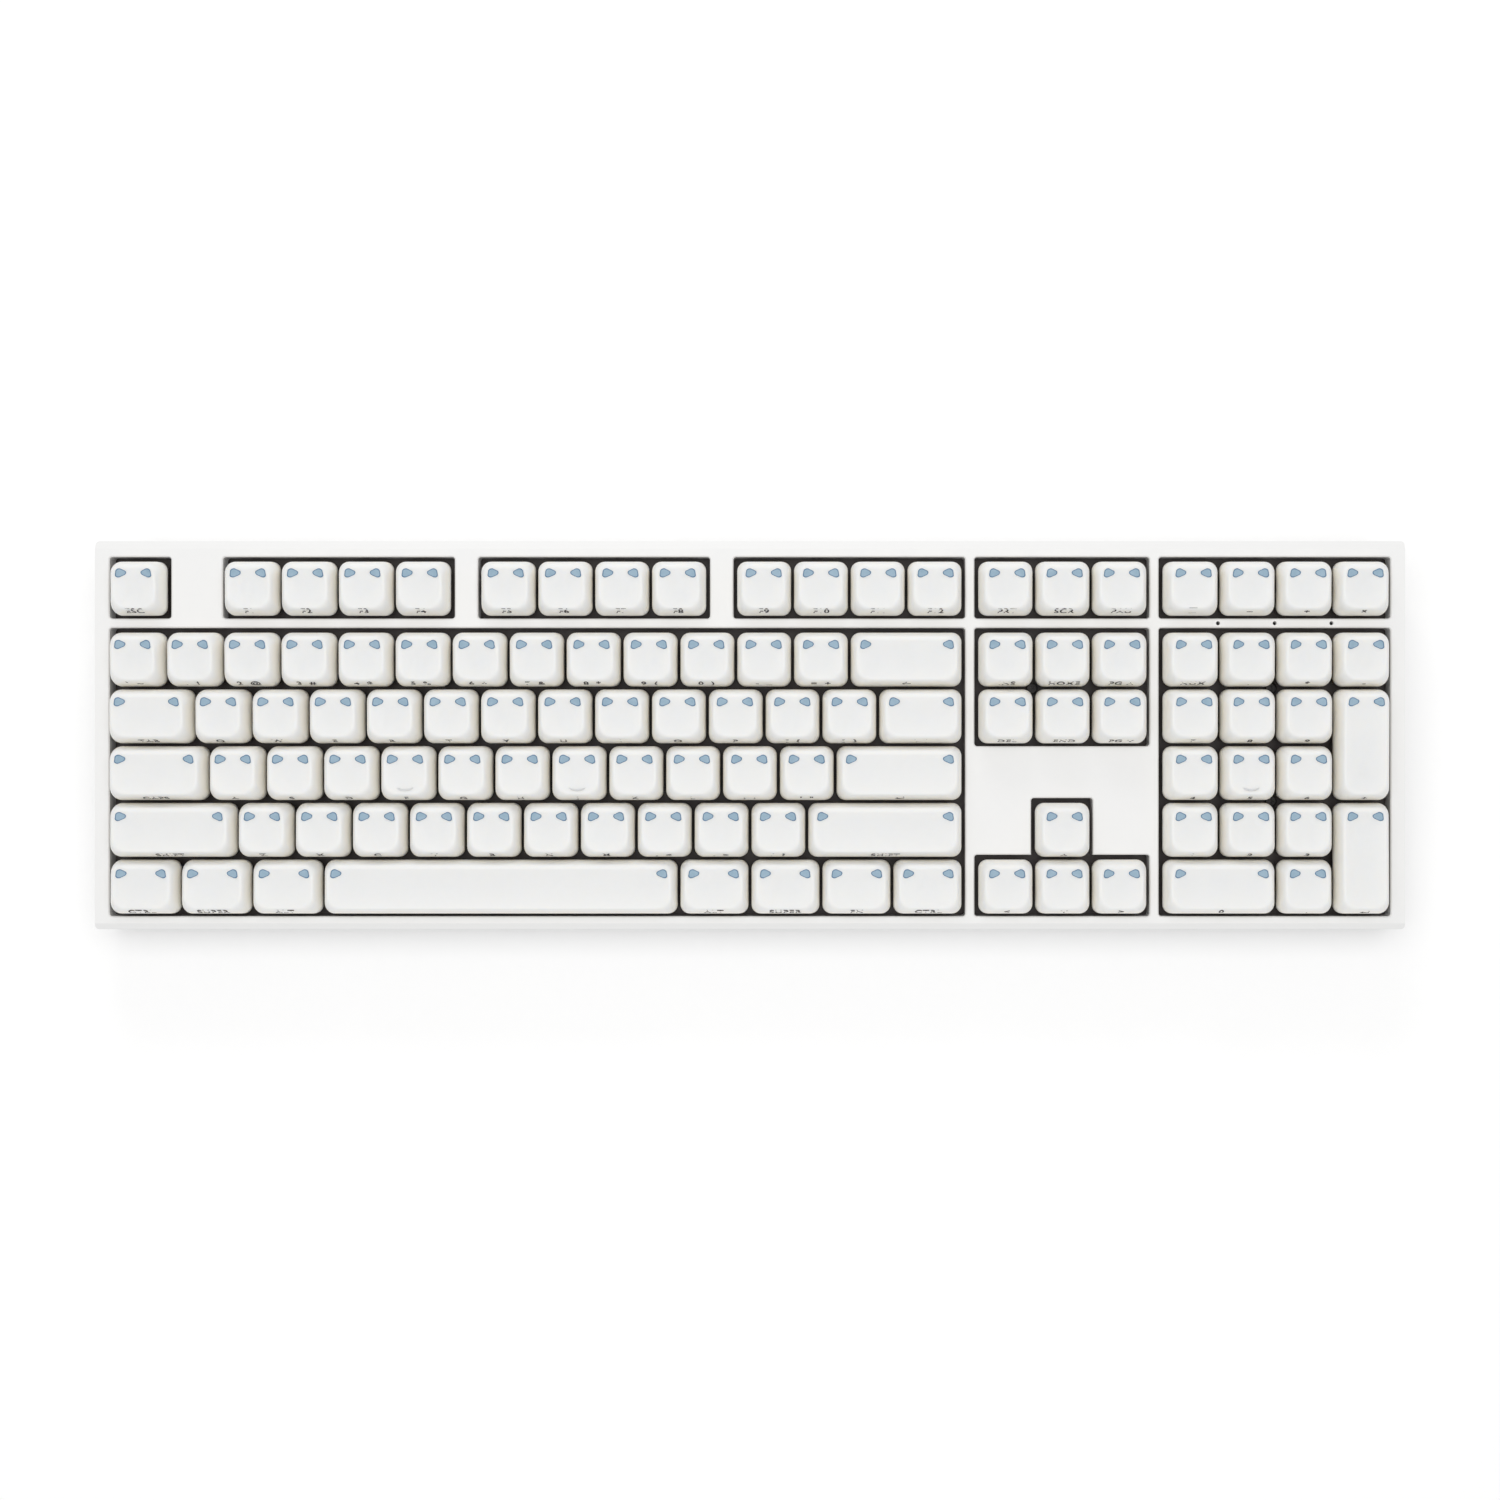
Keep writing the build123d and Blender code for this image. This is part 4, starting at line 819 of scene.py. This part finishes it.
class KEYBOARD_OT_marks(Operator):
    """Lay two dyed drops on each cap, near its rear corners"""
    bl_idname = "keyboard.marks"
    bl_label = "Dyed marks"

    def execute(self, context):
        settings = context.scene.keyboard_caps
        for node, keys in KEYS.items():
            shape = Shape()
            for key in keys:
                form = CapForm(key, settings)
                for side in (-1, 1):
                    self.add_mark(shape, form, side)
            marks = shape.build(f"marks_{node}", [FINISHES["mark_blue"], FINISHES["mark_rim"]])
            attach(marks, node)
        return {"FINISHED"}

    def add_mark(self, shape, form, side):
        """One drop: a rim band and a fill, draped on the dish."""
        settings = form.set
        key = form.key
        middle_x = side * (key.width * UNIT / 2 - MARK_SIDE_INSET)
        middle_y = (key.depth - 1) * UNIT / 2 + MARK_REAR
        rings = []
        for band, lift in MARK_BANDS:
            shrink = 2 * settings.mark_outline * band
            ring = []
            for drop_x, drop_y in drop_outline(settings.mark_length - shrink, settings.mark_height - shrink):
                x, y = middle_x - side * drop_x, middle_y + drop_y
                ring.append((key.x + x, key.y + y, form.surface(x, y, UNIT) + lift))
            rings.append(ring if side < 0 else ring[::-1])
        shape.add_rings(rings[:MARK_RIM_BANDS], paint=1)
        shape.add_rings(rings[MARK_RIM_BANDS - 1:], close_last=True)


class KEYBOARD_OT_legends(Operator):
    """Print each key's legend on the front wall of its cap"""
    bl_idname = "keyboard.legends"
    bl_label = "Front legends"

    def execute(self, context):
        settings = context.scene.keyboard_caps
        for node, keys in KEYS.items():
            shape = Shape()
            for key in keys:
                if key.legend:
                    self.add_legend(shape, CapForm(key, settings), settings.legend_size)
            if not shape.points:
                continue
            legends = shape.build(f"legends_{node}", [FINISHES["legend_grey"]], smooth=False)
            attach(legends, node)
        return {"FINISHED"}

    def add_legend(self, shape, form, size):
        """Turn a word into flat faces and lay them on the wall."""
        curve = bpy.data.curves.new("legend", "FONT")
        curve.body = form.key.legend
        curve.align_x = "CENTER"
        curve.align_y = "CENTER"
        curve.size = size
        curve.resolution_u = 4
        curve.space_character = 1.12
        curve.offset = LEGEND_BOLDNESS
        holder = bpy.data.objects.new("legend", curve)
        bpy.context.collection.objects.link(holder)
        bpy.context.view_layer.update()
        mesh = bpy.data.meshes.new_from_object(holder.evaluated_get(bpy.context.evaluated_depsgraph_get()))
        points = [form.wall_point(vertex.co.x, LEGEND_HEIGHT + vertex.co.y) for vertex in mesh.vertices]
        shape.add(points, [tuple(face.vertices) for face in mesh.polygons])
        bpy.data.objects.remove(holder)
        bpy.data.curves.remove(curve)
        bpy.data.meshes.remove(mesh)


# ================= CAD nodes that stay =================
class KEYBOARD_OT_dress_frame(Operator):
    """Give every CAD node that stays its own finish"""
    bl_idname = "keyboard.dress_frame"
    bl_label = "Case, plate and insides"

    def execute(self, context):
        for entry in frame["record"]["subparts"]:
            node = entry["node"]
            if node in KEYS:
                continue
            carried = frame["nodes"][node]
            look = "screw_dark" if node == "plate_screws" else entry["material_slot"]
            for slot in carried.material_slots:
                slot.material = FINISHES[look]
        return {"FINISHED"}


# ================= stage =================
FLOOR_HALF = 3.0
REAR_LAMP_PLACE, REAR_LAMP_SIZE = Vector((-0.12, 1.05, 0.58)), (0.6, 0.3)        # from the keyboard's middle
TOP_LAMP_PLACE, TOP_LAMP_SIZE = Vector((0.0, 0.0, 1.3)), (1.6, 1.2)


class KEYBOARD_OT_stage(Operator):
    """Pale floor, soft light from the rear and above, and the camera"""
    bl_idname = "keyboard.stage"
    bl_label = "Stage"

    def execute(self, context):
        settings = context.scene.keyboard_stage
        low, high = (Vector(corner) for corner in CAD_BOX)
        middle = (low + high) / 2
        self.add_floor(context)
        case_top = deck_box("top_case")[1][2]
        self.add_camera(context, settings, case_top)
        self.add_lamp("rear_light", middle + REAR_LAMP_PLACE, middle, REAR_LAMP_SIZE,
                      settings.key_light, (1.0, 0.985, 0.96))
        self.add_lamp("top_light", middle + TOP_LAMP_PLACE, middle, TOP_LAMP_SIZE,
                      settings.top_light, (1.0, 1.0, 1.0))
        world = bpy.data.worlds.new("Studio")
        world.use_nodes = True
        world.node_tree.nodes["Background"].inputs["Color"].default_value = (1.0, 1.0, 0.998, 1.0)
        world.node_tree.nodes["Background"].inputs["Strength"].default_value = settings.sky
        context.scene.world = world
        context.scene.view_settings.view_transform = "Standard"
        return {"FINISHED"}

    def add_floor(self, context):
        """A wide pale plane under the pads."""
        mesh = bpy.data.meshes.new("floor")
        corners = [(-FLOOR_HALF, -FLOOR_HALF), (FLOOR_HALF, -FLOOR_HALF), (FLOOR_HALF, FLOOR_HALF),
                   (-FLOOR_HALF, FLOOR_HALF)]
        mesh.from_pydata([(x, y, CAD_BOX[0][2]) for x, y in corners], [], [(0, 1, 2, 3)])
        mesh.materials.append(finish("Pale floor", context.scene.keyboard_finish.floor, None, 0.9, grain=300.0,
                                     depth=0.01, mottle=0.004, specular=0.1))
        floor = bpy.data.objects.new("floor", mesh)
        context.collection.objects.link(floor)

    def add_camera(self, context, settings, case_top):
        """A camera square to the deck, a little right of the middle, with the shift that centres the case."""
        data = bpy.data.cameras.new("camera")
        data.lens = 50.0
        data.sensor_width = 36.0
        data.clip_end = 20.0
        span = settings.camera_distance * data.sensor_width / data.lens
        data.shift_x = -settings.camera_side / span
        camera = bpy.data.objects.new("camera", data)
        spot = Matrix.Translation((settings.camera_side, -settings.camera_front,
                                   case_top + settings.camera_distance))
        camera.matrix_world = DECK @ spot
        context.collection.objects.link(camera)
        context.scene.camera = camera

    def add_lamp(self, name, place, target, size, power, colour):
        """A soft rectangular lamp that faces a target."""
        data = bpy.data.lights.new(name, "AREA")
        data.shape = "RECTANGLE"
        data.size, data.size_y = size
        data.energy = power
        data.color = colour
        lamp = bpy.data.objects.new(name, data)
        turn = (target - place).to_track_quat("-Z", "Y").to_matrix().to_4x4()
        lamp.matrix_world = Matrix.Translation(place) @ turn
        bpy.context.collection.objects.link(lamp)


class KEYBOARD_PT_sidebar(Panel):
    """Settings and steps of the keyboard"""
    bl_label = "Mechanical keyboard"
    bl_idname = "KEYBOARD_PT_sidebar"
    bl_space_type = "VIEW_3D"
    bl_region_type = "UI"
    bl_category = "Keyboard"

    def draw(self, context):
        layout = self.layout
        for name in ("keyboard_caps", "keyboard_finish", "keyboard_stage"):
            settings = getattr(context.scene, name)
            box = layout.box()
            for prop in settings.__annotations__:
                box.prop(settings, prop)
        for step in STEPS:
            layout.operator(step.bl_idname)


STEPS = [KEYBOARD_OT_caps, KEYBOARD_OT_sliders, KEYBOARD_OT_marks, KEYBOARD_OT_legends,
         KEYBOARD_OT_dress_frame, KEYBOARD_OT_stage]
SETTINGS = {"keyboard_caps": KEYBOARD_PG_caps, "keyboard_finish": KEYBOARD_PG_finish,
            "keyboard_stage": KEYBOARD_PG_stage}


def register():
    """Register the settings, the steps and the panel."""
    for group in SETTINGS.values():
        bpy.utils.register_class(group)
    for step in STEPS:
        bpy.utils.register_class(step)
    bpy.utils.register_class(KEYBOARD_PT_sidebar)
    for name, group in SETTINGS.items():
        setattr(bpy.types.Scene, name, PointerProperty(type=group))


def unregister():
    """Take everything back out."""
    for name in SETTINGS:
        delattr(bpy.types.Scene, name)
    bpy.utils.unregister_class(KEYBOARD_PT_sidebar)
    for step in reversed(STEPS):
        bpy.utils.unregister_class(step)
    for group in reversed(list(SETTINGS.values())):
        bpy.utils.unregister_class(group)


def main():
    """Build the shared groups and finishes and run every step."""
    register()
    GROUPS["Moulded grain"] = build_grain_group()
    GROUPS["Painted light and shade by steepness"] = build_painted_light_group()
    GROUPS["Handling"] = build_handling_group()
    make_finishes(bpy.context.scene.keyboard_finish)
    for step in STEPS:
        module, action = step.bl_idname.split(".")
        getattr(getattr(bpy.ops, module), action)()


if __name__ == "__main__":
    main()
